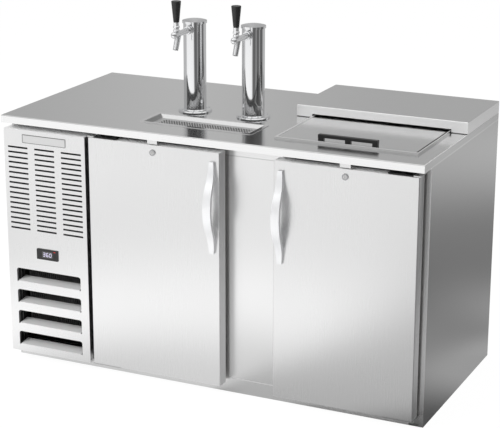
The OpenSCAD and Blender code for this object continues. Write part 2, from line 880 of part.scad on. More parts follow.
// Room for the lever's finger, swept as the lever tips
module finger_room() {
    half = finger_r + finger_gap;
    low = barrel_bore_r - over;
    high = boss_top + over;
    wall = 1.2;
    reach = finger_len * sin(lever_throw) + half;
    translate([-half, 0, 0]) rotate([90, 0, 90]) linear_extrude(2 * half)
        polygon([[-half, high], [boss_r - wall, high], [reach, low], [-half, low]]);
}

module faucet_body(side) {
    tail_back = shank_front - fit_gap;
    flange_front = nut_front + nut_lip;
    nose_wall = 2;
    bore_front = nose_y + nose_r - nose_wall;
    color("silver") translate([tower_pos(side), 0, faucet_z]) difference() {
        union() {
            bar_y(0, flange_front, 0, shank_r, tail_back - flange_front);
            translate([0, nose_y, 0]) rotate([-90, 0, 0])
                cylinder(r1 = barrel_r, r2 = barrel_root_r, h = tail_back - nose_y);
            translate([0, nose_y, 0]) sphere(nose_r);
            translate([0, lever_y, 0]) cylinder(r = boss_r, h = boss_top);
            translate([0, lever_y + spout_back, 0]) rotate([180 - spout_tilt, 0, 0])
                cylinder(r1 = spout_r + spout_swell, r2 = spout_r, h = spout_len);
        }
        bar_y(0, bore_front, 0, barrel_bore_r, tail_back - bore_front + over);
        bar_y(0, nose_y - nose_r + nose_wall, 0, guide_r, 2 * nose_r);
        translate([0, lever_y, 0]) finger_room();
        translate([0, lever_y + spout_back, 0]) rotate([180 - spout_tilt, 0, 0])
            cylinder(r = spout_bore_r, h = spout_len + over);
    }
}

module faucet_bonnets() {
    lap = 0.5;
    cover = 2;
    wall = 2.6;
    shoulder = 4;
    outer = boss_r + wall;
    thread_r = boss_r + ball_gap;
    seat_r = ball_r + ball_gap;
    top = pivot_h + cover;
    color("silver") for (side = [-1, 1]) translate([tower_pos(side), lever_y, faucet_z])
        rotate_extrude() polygon([
            [thread_r, boss_top - lap], [outer, boss_top - lap], [outer, boss_top + shoulder],
            [seat_r + boss_wall, top], [seat_r, top], [seat_r, boss_top], [thread_r, boss_top]
        ]);
}

module faucet_shaft(side) {
    head_len = 6;
    head_back = nut_front - head_len;
    tip_in = 5;
    tip_y = nose_y - nose_r + tip_in;
    yoke_r = barrel_bore_r - 2 * fit_gap;
    yoke_len = 13;
    slot_x = 2 * finger_r + 0.8;
    slot_y = 2 * finger_r + 2.8;
    color("silver") translate([tower_pos(side), 0, faucet_z]) difference() {
        union() {
            bar_y(0, tip_y, 0, guide_r - run_gap, head_back - tip_y);
            bar_y(0, head_back - head_len, 0, barrel_bore_r - fit_gap, head_len);
            bar_y(0, lever_y - yoke_len / 2, 0, yoke_r, yoke_len);
        }
        // Slot that the lever's finger stands in
        translate([0, lever_y, 0]) cube([slot_x, slot_y, 4 * yoke_r], center = true);
    }
}

module faucet_lever(side) {
    neck_r = 3.5;
    skirt_low = 4.5;
    skirt_wall = 1.4;
    skirt_r = ferrule_r + 1.8;
    skirt_top = 12;
    chamfer = 2;
    hollow_top = 10.5;
    hollow_r = neck_r + 0.5;
    color("silver") translate([tower_pos(side), lever_y, pivot_z]) {
        sphere(ball_r);
        translate([0, 0, -finger_len]) cylinder(r = finger_r, h = finger_len);
        cylinder(r = neck_r, h = hollow_top + over);
        // Ferrule, and a skirt that is hollow so that it tips over the bonnet
        rotate_extrude() polygon([
            [0, hollow_top], [hollow_r, hollow_top], [skirt_r - skirt_wall, skirt_low], [skirt_r, skirt_low],
            [skirt_r, skirt_top - chamfer], [ferrule_r, skirt_top], [ferrule_r, ferrule_h], [0, ferrule_h]
        ]);
    }
}

module tap_handle(side) {
    rim = 1.5;
    color("black") translate([tower_pos(side), lever_y, pivot_z + ferrule_h]) rotate_extrude()
        polygon([
            [0, 0], [tap_foot_r, 0], [tap_top_r, tap_len - rim], [tap_top_r - rim, tap_len], [0, tap_len]
        ]);
}

// Front grille and controller

module ctrl_place() {
    translate([grille_left + grille_w / 2, door_front, grille_z + ctrl_lift]) children();
}

// Outline of the grille with a plain opening inside a border of the given width
module grille_frame(border) {
    difference() {
        translate([grille_left, grille_z]) square([grille_w, grille_h]);
        translate([grille_left + border, grille_z + border])
            square([grille_w - 2 * border, grille_h - 2 * border]);
    }
}

// Height of a vent's foot
function vent_foot(i) = grille_z + vent_lift + i * vent_pitch;

module front_grille() {
    depth = face - door_front;
    mid = grille_left + grille_w / 2;
    notch = 5;
    color("whitesmoke") {
        // Face sheet with its slots, vents and controller cut-out
        translate([0, door_front + sheet_t, 0]) rotate([90, 0, 0]) linear_extrude(sheet_t) difference() {
            translate([grille_left, grille_z]) square([grille_w, grille_h]);
            translate([mid, grille_z + grille_h - slot_drop]) slot_field(slot_cols, slot_rows);
            for (i = [0 : vent_n - 1]) {
                translate([mid, vent_foot(i)]) round_top(vent_w, vent_h, vent_r);
                for (side = [-1, 1])
                    translate([mid + side * (vent_w / 2 - notch / 2), vent_foot(i)])
                        square([notch, notch], center = true);
            }
            translate([mid, grille_z + ctrl_lift]) square([cut_w, cut_h], center = true);
        }
        // Returns round the sheet, turned in again at the cabinet's face
        translate([0, face, 0]) rotate([90, 0, 0]) {
            linear_extrude(depth - sheet_t) grille_frame(sheet_t);
            linear_extrude(sheet_t) grille_frame(grille_flange);
        }
        // Tab bent in at the foot of each vent
        for (i = [0 : vent_n - 1])
            translate([mid - vent_w / 2 + notch, door_front, vent_foot(i)]) rotate([90, 0, 90])
                linear_extrude(vent_w - 2 * notch) polygon([
                    [0, 0], [scoop_d, scoop_rise], [scoop_d, scoop_rise - sheet_t],
                    [sheet_t, -sheet_t], [0, -sheet_t]
                ]);
    }
}

// Places of the two buttons on the bezel, beside the display
function button_x(side) = side * (ctrl_w / 2 - button_in);

module controller() {
    body_w = cut_w - 2 * fit_gap;
    body_h = cut_h - 2 * fit_gap;
    corner_r = 2;
    window_side = 21;
    window_edge = 7;
    window_depth = 0.8;
    well = [button_w + 2 * button_room, 2 * button_well, button_h + 2 * button_room];
    color("black") ctrl_place() difference() {
        union() {
            rotate([90, 0, 0]) linear_extrude(ctrl_t) round_rect(ctrl_w, ctrl_h, corner_r);
            block([-body_w / 2, 0, -body_h / 2], [body_w / 2, ctrl_d, body_h / 2]);
        }
        // Display window, then the two wells of the buttons
        translate([0, -ctrl_t, 0])
            cube([ctrl_w - 2 * window_side, 2 * window_depth, ctrl_h - 2 * window_edge], center = true);
        for (side = [-1, 1])
            translate([button_x(side), 0, -button_drop]) cube(well, center = true);
    }
}

// A button runs in its well and stops short of the well's floor by its travel
module button(side) {
    button_back = button_well - button_out - button_room;
    color("dimgray") ctrl_place() translate([button_x(side), 0, -button_drop])
        block([-button_w / 2, -ctrl_t - button_out, -button_h / 2],
              [button_w / 2, button_back, button_h / 2]);
}

// Doors

// A door's pieces are drawn at the left door's place, or mirrored to the right door's
module door_place(side) {
    if (side < 0)
        translate([left_door_x, 0, 0]) children();
    else
        translate([right_door_x + door_w, 0, 0]) mirror([1, 0, 0]) children();
}

module door(side) {
    color("whitesmoke") door_place(side) difference() {
        translate([door_w / 2, door_back, door_z]) linear_extrude(door_h) rotate([0, 0, 180])
            round_top(door_w, door_t, door_edge_r);
        // Pivot bores
        for (z = [door_z - over, door_top - hinge_pin_len - over])
            translate([hinge_in, hinge_y, z])
                cylinder(r = hinge_pin_r + run_gap, h = hinge_pin_len + 2 * over);
        // Lock bore
        bar_y(door_w / 2, door_front - over, lock_z, lock_r + fit_gap, lock_len + 2 * over);
        // Dish inside the gasket
        block([door_lap, door_back - dish_d, door_z + door_lap],
              [door_w - door_lap, door_back + over, door_top - door_lap]);
    }
}

module door_gasket(side) {
    inner = gasket_in + gasket_w;
    color("dimgray") door_place(side) translate([0, face, 0]) rotate([90, 0, 0])
        linear_extrude(gasket_t) difference() {
            translate([gasket_in, door_z + gasket_in])
                square([door_w - 2 * gasket_in, door_h - 2 * gasket_in]);
            translate([inner, door_z + inner]) square([door_w - 2 * inner, door_h - 2 * inner]);
        }
}

// Radius of the arc over a chord with a given rise
function arc_r(chord, rise) = (chord * chord / 4 + rise * rise) / (2 * rise);

// The part of a circle that stands above a chord on the second axis
module bow(chord, rise) {
    intersection() {
        translate([rise - arc_r(chord, rise), 0]) circle(arc_r(chord, rise), $fn = 200);
        translate([0, -chord]) square([chord, 2 * chord]);
    }
}

// A strip along the second axis that swells from its ends to its middle in smooth curves.
// The end curves are a touch flatter than the middle one, so that they cross it.
module swell(len, end, middle) {
    flatter = 1.001;
    half = len / 2;
    rise = (middle - end) / 2;
    middle_r = arc_r(half, rise);
    end_r = flatter * middle_r;
    intersection() {
        translate([middle - middle_r, 0]) circle(middle_r, $fn = 400);
        translate([0, -half]) square([middle, len]);
    }
    difference() {
        translate([0, -half]) square([end + rise, len]);
        for (side = [-1, 1]) translate([end + end_r, side * half]) circle(end_r, $fn = 400);
    }
}

module door_handle(side) {
    side_r = arc_r(handle_len, (handle_mid_w - handle_end_w) / 2);
    mid_z = door_top - handle_drop - handle_len / 2;
    color("silver") door_place(side) translate([door_w - handle_in, door_front, mid_z]) intersection() {
        // Side view: the outer bow less the finger room
        translate([handle_mid_w, 0, 0]) rotate([90, 0, -90]) linear_extrude(2 * handle_mid_w) difference() {
            swell(handle_len, handle_end_out, handle_out);
            bow(handle_len - 2 * handle_foot, handle_out - handle_t);
        }
        // Front view: widest in the middle
        rotate([90, 0, 0]) linear_extrude(2 * handle_out) intersection() {
            translate([handle_mid_w / 2 - side_r, 0]) circle(side_r, $fn = 400);
            translate([side_r - handle_mid_w / 2, 0]) circle(side_r, $fn = 400);
        }
    }
}

module lock_barrel(side) {
    ring_w = 1;
    color("silver") door_place(side) translate([door_w / 2, door_front, lock_z]) difference() {
        union() {
            bar_y(0, 0, 0, lock_r, lock_len);
            bar_y(0, -lock_ring_t, 0, lock_r + ring_w, lock_ring_t);
        }
        bar_y(0, -lock_ring_t - over, 0, plug_r + run_gap, lock_len);
    }
}

module lock_plug(side) {
    plug_out = 0.5;
    key_slot = [1.6, 6, 1.3 * plug_r];
    color("gray") door_place(side) translate([door_w / 2, door_front, lock_z]) difference() {
        bar_y(0, -lock_ring_t - plug_out, 0, plug_r, lock_len - over);
        translate([0, -lock_ring_t, 0]) cube(key_slot, center = true);
    }
}

module hinge_brackets() {
    arm_set = 2;
    arm_front = door_front + arm_set;
    x0 = hinge_in - hinge_end;
    x1 = x0 + hinge_w;
    upper_z = door_top + hinge_gap;
    lower_z = door_z - hinge_gap;
    flange_h = 26;
    pin_h = hinge_pin_len + hinge_gap + hinge_t;
    color("silver") for (side = [-1, 1]) door_place(side) {
        // Upper bracket and its pin
        block([x0, arm_front, upper_z], [x1, face, upper_z + hinge_t]);
        block([x0, face - hinge_t, upper_z], [x1, face, cab_h]);
        translate([hinge_in, hinge_y, door_top - hinge_pin_len]) cylinder(r = hinge_pin_r, h = pin_h);
        // Lower bracket and its pin
        block([x0, arm_front, lower_z - hinge_t], [x1, face, lower_z]);
        block([x0, face - hinge_t, lower_z - flange_h], [x1, face, lower_z]);
        translate([hinge_in, hinge_y, lower_z - hinge_t]) cylinder(r = hinge_pin_r, h = pin_h);
    }
}

module strikes() {
    x0 = (door_w - strike_w) / 2;
    x1 = (door_w + strike_w) / 2;
    tab_front = door_front - strike_t;
    color("whitesmoke") for (side = [-1, 1]) door_place(side) {
        block([x0, tab_front, door_top + strike_gap], [x1, door_front, cab_h]);
        block([x0, tab_front, cab_h - strike_t], [x1, tab_front + strike_d, cab_h]);
    }
}

// Cooling machine

module compressor() {
    foot_h = 16;
    plate_t = 4;
    plate_w = 2 * comp_r + 20;
    boss_r = 10;
    boss_in = comp_r - 4;
    dome = 45;
    terminal = [40, 56, 70];
    terminal_out = 14;
    terminal_lift = 60;
    comp_y = back - comp_set;
    color("dimgray") translate([bay_x, comp_y, base_h]) {
        // Shell: a drawn can with a domed top
        translate([0, 0, foot_h]) rotate_extrude() {
            square([comp_r, comp_h - dome]);
            translate([0, comp_h - dome]) square([comp_r - dome, dome]);
            intersection() {
                translate([comp_r - dome, comp_h - dome]) circle(dome);
                translate([0, comp_h - dome]) square([comp_r, dome]);
            }
        }
        // Foot plate on four rubber-sleeved bosses
        translate([0, 0, foot_h - plate_t / 2]) cube([plate_w, plate_w, 2 * plate_t], center = true);
        for (sx = [-1, 1], sy = [-1, 1])
            translate([sx * boss_in, sy * boss_in, 0]) cylinder(r = boss_r, h = foot_h);
        // Terminal box
        translate([-comp_r - terminal_out, -terminal[1] / 2, foot_h + terminal_lift]) cube(terminal);
    }
}

module condenser_coil() {
    color("darkgray") translate([bay_x, cond_front + cond_d / 2, base_h])
        linear_extrude(cond_h) fin_comb(cond_w, cond_d, [-1, 1]);
}

module condenser_shroud() {
    mouth_r = cond_fan_r + 6;
    inner = [cond_w - 2 * sheet_t, shroud_d - sheet_t + over, cond_h - 2 * sheet_t];
    color("gray") translate([bay_x, shroud_front, base_h]) difference() {
        translate([-cond_w / 2, 0, 0]) cube([cond_w, shroud_d, cond_h]);
        translate([sheet_t - cond_w / 2, -over, sheet_t]) cube(inner);
        bar_y(0, shroud_d - sheet_t - over, cond_h / 2, mouth_r, sheet_t + 2 * over);
    }
}

module condenser_motor() {
    can_r = 36;
    can_len = 55;
    can_y = cond_fan_y + fan_depth + 12;
    shaft_y = cond_fan_y - 4;
    leg_w = 48;
    leg_t = 4;
    leg_y = can_y + 10;
    foot_d = 40;
    color("dimgray") translate([bay_x, 0, 0]) {
        bar_y(0, can_y, cond_axis_z, can_r, can_len);
        bar_y(0, shaft_y, cond_axis_z, motor_shaft_r, can_y + over - shaft_y);
        // Pedestal that carries the motor from the base pan
        block([-leg_w / 2, leg_y, base_h], [leg_w / 2, leg_y + leg_t, cond_axis_z]);
        block([-leg_w / 2, leg_y, base_h], [leg_w / 2, leg_y + foot_d, base_h + leg_t]);
    }
}

module condenser_fan() {
    color("black") translate([bay_x, cond_fan_y, cond_axis_z]) rotate([-90, 0, 0])
        axial_fan(cond_fan_r, cond_hub_r, fan_depth);
}

// The evaporator hangs on the bulkhead; its fan blows to the right
module evap_place() {
    translate([bulk_right, evap_y, evap_z]) rotate([90, 0, 90]) children();
}

module evaporator_cover() {
    ring_n = 4;
    wire_w = 3;
    mouth_r = evap_fan_r + 6;
    guard_pitch = mouth_r / ring_n;
    color("whitesmoke") evap_place() {
        linear_extrude(evap_d - sheet_t) difference() {
            square([evap_w, evap_h], center = true);
            square([evap_w - 2 * sheet_t, evap_h - 2 * sheet_t], center = true);
        }
        // Face sheet with a guard of rings and bars pressed across the fan's mouth
        translate([0, 0, evap_d - sheet_t]) linear_extrude(sheet_t) {
            difference() {
                square([evap_w, evap_h], center = true);
                circle(mouth_r);
            }
            for (i = [1 : ring_n - 1])
                difference() {
                    circle(i * guard_pitch);
                    circle(i * guard_pitch - wire_w);
                }
            square([2 * mouth_r + over, wire_w], center = true);
            square([wire_w, 2 * mouth_r + over], center = true);
        }
    }
}

module evaporator_coil() {
    color("darkgray") evap_place()
        translate([0, evap_h / 2 - evap_coil_in, evap_coil_d / 2]) rotate([90, 0, 0])
            linear_extrude(evap_h - 2 * evap_coil_in) fin_comb(evap_w - 2 * evap_coil_in, evap_coil_d, [1]);
}

// The motor sits on a strap between the cover's upper and lower walls
module evaporator_motor() {
    strap_w = 22;
    strap_t = 3;
    can_r = 26;
    can_low = evap_coil_d + 4;
    can_high = evap_fan_low - 5;
    shaft_top = evap_fan_low + evap_fan_depth + 3;
    color("dimgray") evap_place() translate([0, 0, can_low]) {
        cylinder(r = can_r, h = can_high - can_low);
        cylinder(r = motor_shaft_r, h = shaft_top - can_low);
        translate([0, 0, strap_t / 2]) cube([strap_w, evap_h - 2 * sheet_t, strap_t], center = true);
    }
}

module evaporator_fan() {
    color("black") evap_place() translate([0, 0, evap_fan_low])
        axial_fan(evap_fan_r, evap_hub_r, evap_fan_depth);
}

base_pan();
left_side_panel();
right_wall();
rear_wall();
bulkhead();
insulated_floor();
insulated_ceiling();
mullion();
front_rails();
rear_grille();
power_gland();
worktop();
hood();
lid_track();
lid();
lid_handle();
drip_tray();
drip_grille();
drain_fitting();
tower(-1);  // tower_left
tower(1);  // tower_right
tower_cap(-1);  // tower_cap_left
tower_cap(1);  // tower_cap_right
shank(-1);  // shank_left
shank(1);  // shank_right
faucet_nuts();
faucet_body(-1);  // faucet_body_left
faucet_body(1);  // faucet_body_right
faucet_bonnets();
faucet_shaft(-1);  // faucet_shaft_left
faucet_shaft(1);  // faucet_shaft_right
faucet_lever(-1);  // faucet_lever_left
faucet_lever(1);  // faucet_lever_right
tap_handle(-1);  // tap_handle_left
tap_handle(1);  // tap_handle_right
front_grille();
controller();
button(-1);  // button_set
button(1);  // button_up
door(-1);  // door_left
door(1);  // door_right
door_gasket(-1);  // door_gasket_left
door_gasket(1);  // door_gasket_right
door_handle(-1);  // door_handle_left
door_handle(1);  // door_handle_right
lock_barrel(-1);  // lock_barrel_left
lock_barrel(1);  // lock_barrel_right
lock_plug(-1);  // lock_plug_left
lock_plug(1);  // lock_plug_right
hinge_brackets();
strikes();
compressor();
condenser_coil();
condenser_shroud();
condenser_motor();
condenser_fan();
evaporator_cover();
evaporator_coil();
evaporator_motor();
evaporator_fan();
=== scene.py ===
import math

import bmesh
import bpy
from mathutils import Euler, Matrix, Vector


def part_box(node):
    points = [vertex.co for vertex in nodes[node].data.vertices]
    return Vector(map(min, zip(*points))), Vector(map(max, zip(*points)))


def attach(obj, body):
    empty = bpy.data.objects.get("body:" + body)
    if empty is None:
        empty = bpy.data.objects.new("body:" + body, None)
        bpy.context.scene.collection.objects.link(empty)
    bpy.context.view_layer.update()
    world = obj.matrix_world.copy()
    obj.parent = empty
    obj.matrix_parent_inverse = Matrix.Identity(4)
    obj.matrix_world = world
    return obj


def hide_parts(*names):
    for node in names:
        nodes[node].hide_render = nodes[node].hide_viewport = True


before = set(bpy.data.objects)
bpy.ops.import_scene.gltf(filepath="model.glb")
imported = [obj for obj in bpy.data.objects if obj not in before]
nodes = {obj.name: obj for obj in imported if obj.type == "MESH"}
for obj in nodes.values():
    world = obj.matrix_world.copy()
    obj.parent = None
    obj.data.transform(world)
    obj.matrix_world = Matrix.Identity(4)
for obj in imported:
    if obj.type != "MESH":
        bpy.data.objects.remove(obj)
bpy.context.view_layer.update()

MM = 0.001
X, Y, Z = 0, 1, 2


# Shader maths

class Value:
    """One output of a shader node. Arithmetic on it adds Math nodes to the same tree."""

    def __init__(self, shader, socket):
        self.shader = shader
        self.socket = socket

    def __add__(self, other):
        return self.shader.math("ADD", self, other)

    def __radd__(self, other):
        return self.shader.math("ADD", other, self)

    def __sub__(self, other):
        return self.shader.math("SUBTRACT", self, other)

    def __rsub__(self, other):
        return self.shader.math("SUBTRACT", other, self)

    def __mul__(self, other):
        return self.shader.math("MULTIPLY", self, other)

    def __rmul__(self, other):
        return self.shader.math("MULTIPLY", other, self)

    def __gt__(self, other):
        return self.shader.math("GREATER_THAN", self, other)

    def __lt__(self, other):
        return self.shader.math("LESS_THAN", self, other)


class Shader:
    """A node tree, with methods that add nodes to it."""

    def __init__(self, owner):
        owner.use_nodes = True
        self.tree = owner.node_tree
        self.tree.nodes.clear()

    def node(self, kind, settings, sockets, output=0):
        """Adds a node with its settings and what goes into it, and gives one of its outputs."""
        made = self.tree.nodes.new(kind)
        for name, setting in settings.items():
            setattr(made, name, setting)
        for name, content in sockets.items():
            if isinstance(content, Value):
                self.tree.links.new(content.socket, made.inputs[name])
            else:
                made.inputs[name].default_value = content
        return Value(self, made.outputs[output]) if made.outputs else None

    def math(self, operation, first, second):
        """Arithmetic on two values or numbers."""
        return self.node("ShaderNodeMath", {"operation": operation}, {0: first, 1: second})

    def part(self, vector, axis):
        """One coordinate of a vector."""
        return self.node("ShaderNodeSeparateXYZ", {}, {0: vector}, axis)

    def point(self):
        """A point's place on its own piece, in metres."""
        return self.node("ShaderNodeTexCoord", {}, {}, "Object")

    def place(self, axis):
        """A point's coordinate along one axis of its own piece, in metres."""
        return self.part(self.point(), axis)

    def noise(self, size, detail=3.0):
        """Soft noise from 0 to 1 with spots of the given size along X, Y and Z, in metres."""
        scale = [1 / length for length in size]
        scaled = self.node("ShaderNodeMapping", {}, {"Vector": self.point(), "Scale": scale})
        return self.node("ShaderNodeTexNoise", {}, {"Vector": scaled, "Scale": 1.0, "Detail": detail})

    def spots(self, size):
        """Soft noise with round spots of the given size, in metres."""
        return self.noise([size] * 3)

    def cells(self, size):
        """Distance to the middle of cells of the given size, in cell sizes."""
        return self.node("ShaderNodeTexVoronoi", {}, {"Vector": self.point(), "Scale": 1 / size})

    def blend(self, share, low, high):
        """A colour between two colours."""
        return self.node("ShaderNodeMix", {"data_type": "RGBA"}, {0: share, 6: low, 7: high}, 2)

    def step(self, place, start, end):
        """A smooth rise from 0 at the start to 1 at the end, which may be the lower of the two."""
        return self.node("ShaderNodeMapRange", {"interpolation_type": "SMOOTHSTEP"}, {
            "Value": place, "From Min": start, "From Max": end,
        })

    def band(self, place, start, end, soft):
        """1 from the start to the end, with smooth edges."""
        rise = self.step(place, start - soft, start + soft)
        return rise * self.step(place, end + soft, end - soft)

    def bearing(self, across, back):
        """Angle in degrees of a direction seen from above: 0 along X, 90 along Y."""
        return self.math("ARCTAN2", back, across) * (180 / math.pi)

    def bump(self, height, depth):
        """A normal from a height of 0 to 1 over the given depth in metres."""
        return self.node("ShaderNodeBump", {}, {"Strength": 1.0, "Distance": depth, "Height": height})

    def ray(self, kind):
        """1 for rays of one kind."""
        return self.node("ShaderNodeLightPath", {}, {}, kind)

    def mirror_rays(self):
        """1 for rays that come off metal or through glass."""
        return self.math("MAXIMUM", self.ray("Is Glossy Ray"), self.ray("Is Transmission Ray"))


def grey(level, warm=0.0):
    """An opaque grey with a share of warmth."""
    return (level * (1 + warm), level, level * (1 - warm), 1.0)


# Finishes

# Length and width of the fine grain and of the broad streaks in brushed steel, in metres
GRAIN_LONG = 0.12
GRAIN_FINE = 0.0005
STREAK_LONG = 3 * GRAIN_LONG
STREAK_W = 0.0012
SMUDGE = 0.18
GRAIN_DEPTH = 0.000004
# How much the streaks vary in level, and the grain and the smudges in roughness
STREAKS = 0.008
GRAIN_ROUGH = 0.04
SMUDGE_ROUGH = 0.02
SEAM_W = 0.0016
# A face looks along an axis where its normal's part along the axis is larger than this
FACING = 0.7
SATIN_ROUGH = 0.45
SATIN_METAL = 0.25
PEBBLE = 0.004


class Finish(Shader):
    """A material under construction: a surface with patches of other finishes on it."""

    def __init__(self, name):
        self.material = bpy.data.materials.new(name)
        super().__init__(self.material)
        self.surface = {}

    def facing(self, axis):
        """How far a face looks along an axis, from -1 to 1."""
        normal = self.node("ShaderNodeNewGeometry", {}, {}, "True Normal")
        return self.part(normal, axis)

    def within(self, axis, low, high):
        """1 between two places along an axis."""
        place = self.place(axis)
        return (place > low) * (place < high)

    def clouded(self, level, spread=0.02, size=0.15):
        """A grey that varies a little in soft spots."""
        return self.blend(self.spots(size), grey((1 - spread) * level), grey((1 + spread) * level))

    def patch(self, share, colour, rough=None, metal=None):
        """Puts another finish where the share is 1. What isn't given stays as it was."""
        surface = self.surface
        surface["Base Color"] = self.blend(share, surface["Base Color"], colour)
        if rough is not None:
            surface["Roughness"] = surface["Roughness"] * (1 - share) + rough * share
        if metal is not None:
            surface["Metallic"] = surface["Metallic"] * (1 - share) + metal * share
        return self

    def satin(self, share, level):
        """Puts a rough satin finish where the share is 1, at a level of painted light and shade."""
        return self.patch(share, self.clouded(level), SATIN_ROUGH, SATIN_METAL)

    def done(self):
        """Joins the surface to the material."""
        surface = self.node("ShaderNodeBsdfPrincipled", {}, self.surface)
        self.node("ShaderNodeOutputMaterial", {}, {"Surface": surface})
        return self.material


class Steel(Finish):
    """Brushed sheet steel with its grain along one axis."""

    def __init__(self, name, level, rough, along):
        super().__init__(name)
        long_streak = [STREAK_W] * 3
        long_streak[along] = STREAK_LONG
        fine_streak = [GRAIN_FINE] * 3
        fine_streak[along] = GRAIN_LONG
        broad = self.noise(long_streak)
        fine = self.noise(fine_streak, detail=2.0)
        smudge = self.spots(SMUDGE)
        self.streaks = 0.5 * broad + 0.5 * fine
        self.surface = {
            "Base Color": self.shade(level),
            "Roughness": rough + GRAIN_ROUGH * (fine - 0.5) + SMUDGE_ROUGH * (smudge - 0.5),
            "Normal": self.bump(fine, GRAIN_DEPTH),
            "Metallic": 1.0,
        }

    def shade(self, level):
        """The streaked grey of brushed steel."""
        return self.blend(self.streaks, grey((1 - STREAKS) * level), grey((1 + STREAKS) * level))

    def flat(self, level):
        """Gives faces that lie flat a level of their own, painted light and shade that differs between tops
        and other faces.
        """
        return self.patch(self.facing(Z) > FACING, self.shade(level))

    def satin_shading_top(self, level):
        """Gives faces that lie flat a satin finish at a level of painted light and shade."""
        return self.satin(self.facing(Z) > FACING, level)

    def front(self):
        """1 on upright front faces."""
        return self.facing(Y) < -FACING

    def satin_shading_front(self, level):
        """Gives upright front faces a satin finish at a level of painted light and shade."""
        return self.satin(self.front(), level)

    def shade_coat(self, share, colour):
        """Puts a rough dark coat that isn't metal where the share is 1, as painted shade."""
        return self.patch(share, colour, rough=0.6, metal=0.0)

    def lined(self, axis, border, inside_above):
        """Puts the white liner on the inner side of a place along one axis."""
        place = self.place(axis)
        inside = place > border if inside_above else place < border
        white = self.blend(self.cells(PEBBLE), grey(0.80, warm=0.01), grey(0.86, warm=0.01))
        return self.patch(inside, white, rough=0.45, metal=0.0)

    def seamed(self, axis, seam):
        """Draws a fine dark joint line at a place along one axis."""
        line = self.within(axis, seam - SEAM_W / 2, seam + SEAM_W / 2)
        return self.patch(line, grey(0.05))


def liner_white(name):
    """White coated liner sheet with a fine pebbled surface."""
    finish = Finish(name)
    pebble = finish.cells(PEBBLE)
    cloud = finish.spots(size=0.2)
    finish.surface = {
        "Base Color": finish.blend(cloud, grey(0.78, warm=0.01), grey(0.86, warm=0.01)),
        "Roughness": 0.4 + 0.15 * pebble,
        "Normal": finish.bump(pebble, depth=0.0001),
    }
    return finish


def galvanised(name):
    """Zinc-coated sheet with its spangle of pale and dark flakes."""
    finish = Finish(name)
    flake = finish.cells(size=0.012)
    cloud = finish.spots(size=0.08)
    finish.surface = {
        "Base Color": finish.blend(flake, grey(0.60), grey(0.44)),
        "Roughness": 0.38 + 0.2 * flake + 0.1 * (cloud - 0.5),
        "Metallic": 1.0,
    }
    return finish


def polished_chrome(name, level=0.86, rough=0.05, metal=1.0):
    """Polished plate with faint wiping marks and a trace of blue."""
    finish = Finish(name)
    wipe = finish.noise([0.02, 0.02, 0.004])
    cloud = finish.spots(size=0.05)
    bluish = (0.97 * level, 0.98 * level, level, 1.0)
    finish.surface = {
        "Base Color": finish.blend(cloud, bluish, grey(level)),
        "Roughness": rough + 0.03 * wipe,
        "Metallic": metal,
    }
    return finish


def moulded_plastic(name, level, rough):
    """Moulded plastic with a fine sandy texture."""
    finish = Finish(name)
    sand = finish.spots(size=0.0006)
    cloud = finish.spots(size=0.03)
    finish.surface = {
        "Base Color": finish.blend(cloud, grey(0.8 * level), grey(1.2 * level)),
        "Roughness": rough + 0.1 * (sand - 0.5),
        "Normal": finish.bump(sand, depth=0.00004),
        "Specular IOR Level": 0.5,
    }
    return finish


def soft_rubber(name):
    """Black rubber with a little dust on it."""
    finish = Finish(name)
    dust = finish.spots(size=0.01)
    finish.surface = {
        "Base Color": finish.blend(dust, grey(0.006), grey(0.014)),
        "Roughness": 0.55 + 0.2 * dust,
        "Normal": finish.bump(finish.spots(size=0.0008), depth=0.00005),
        "Specular IOR Level": 0.2,
    }
    return finish


def machine_paint(name, level):
    """Stove enamel with a light orange peel."""
    finish = Finish(name)
    peel = finish.spots(size=0.003)
    finish.surface = {
        "Base Color": finish.blend(peel, grey(0.8 * level), grey(1.3 * level)),
        "Roughness": 0.3 + 0.1 * peel,
        "Normal": finish.bump(peel, depth=0.0002),
    }
    return finish


def finned_aluminium(name, along, shaded_gap_level, edge_level):
    """Edges of thin fins, closely set along one axis, with painted shade in the gaps between them."""
    fin_pitch = 0.002
    finish = Finish(name)
    spacing = finish.place(along) * (2 * math.pi / fin_pitch)
    wave = finish.node("ShaderNodeMath", {"operation": "SINE"}, {0: spacing})
    edge = 0.5 + 0.5 * wave
    finish.surface = {
        # Painted shade in the gaps between the fins
        "Base Color": finish.blend(edge, grey(shaded_gap_level), grey(edge_level)),
        "Roughness": 0.35 + 0.2 * edge,
        "Metallic": 1.0,
        "Normal": finish.bump(edge, depth=0.0006),
    }
    return finish


def glowing(name, strength, colour):
    """A lit display part whose light is a little uneven."""
    finish = Finish(name)
    cloud = finish.spots(size=0.004)
    dim = [0.85 * part for part in colour] + [1.0]
    full = list(colour) + [1.0]
    finish.surface = {
        "Base Color": finish.blend(cloud, dim, full),
        "Roughness": 0.3 + 0.1 * cloud,
        "Emission Color": finish.blend(cloud, dim, full),
        "Emission Strength": strength,
    }
    return finish


# Materials of the pieces

# Grey levels and roughnesses that several materials share. On one steel, the sides are painted darker than
# the fronts and the tops a little darker, as painted shade.
WORKTOP_LEVEL = 0.86
DOOR_LEVEL = 0.88
SHADED_SIDE_LEVEL = 0.66
LID_EDGE_LEVEL = 0.5
TOP_ROUGH = 0.16
FRONT_ROUGH = 0.28
FRAME_ROUGH = 0.26
SIDE_ROUGH = 0.24
# Black and dark grey of painted shade in gaps, hollows and places behind other parts
SHADE_BLACK = grey(0.012)
SHADE_GREY = grey(0.06)
# Depths that tell the skin of a piece from what lies behind it
SKIN = 2 * MM
HAIR = 0.5 * MM
EDGE = 0.1 * MM


def top_steel(name):
    """Steel of the worktop, the hood and the lid, whose flat tops have a level of their own, painted a
    little darker as painted shade.
    """
    return Steel(name, DOOR_LEVEL, TOP_ROUGH, X).flat(WORKTOP_LEVEL)


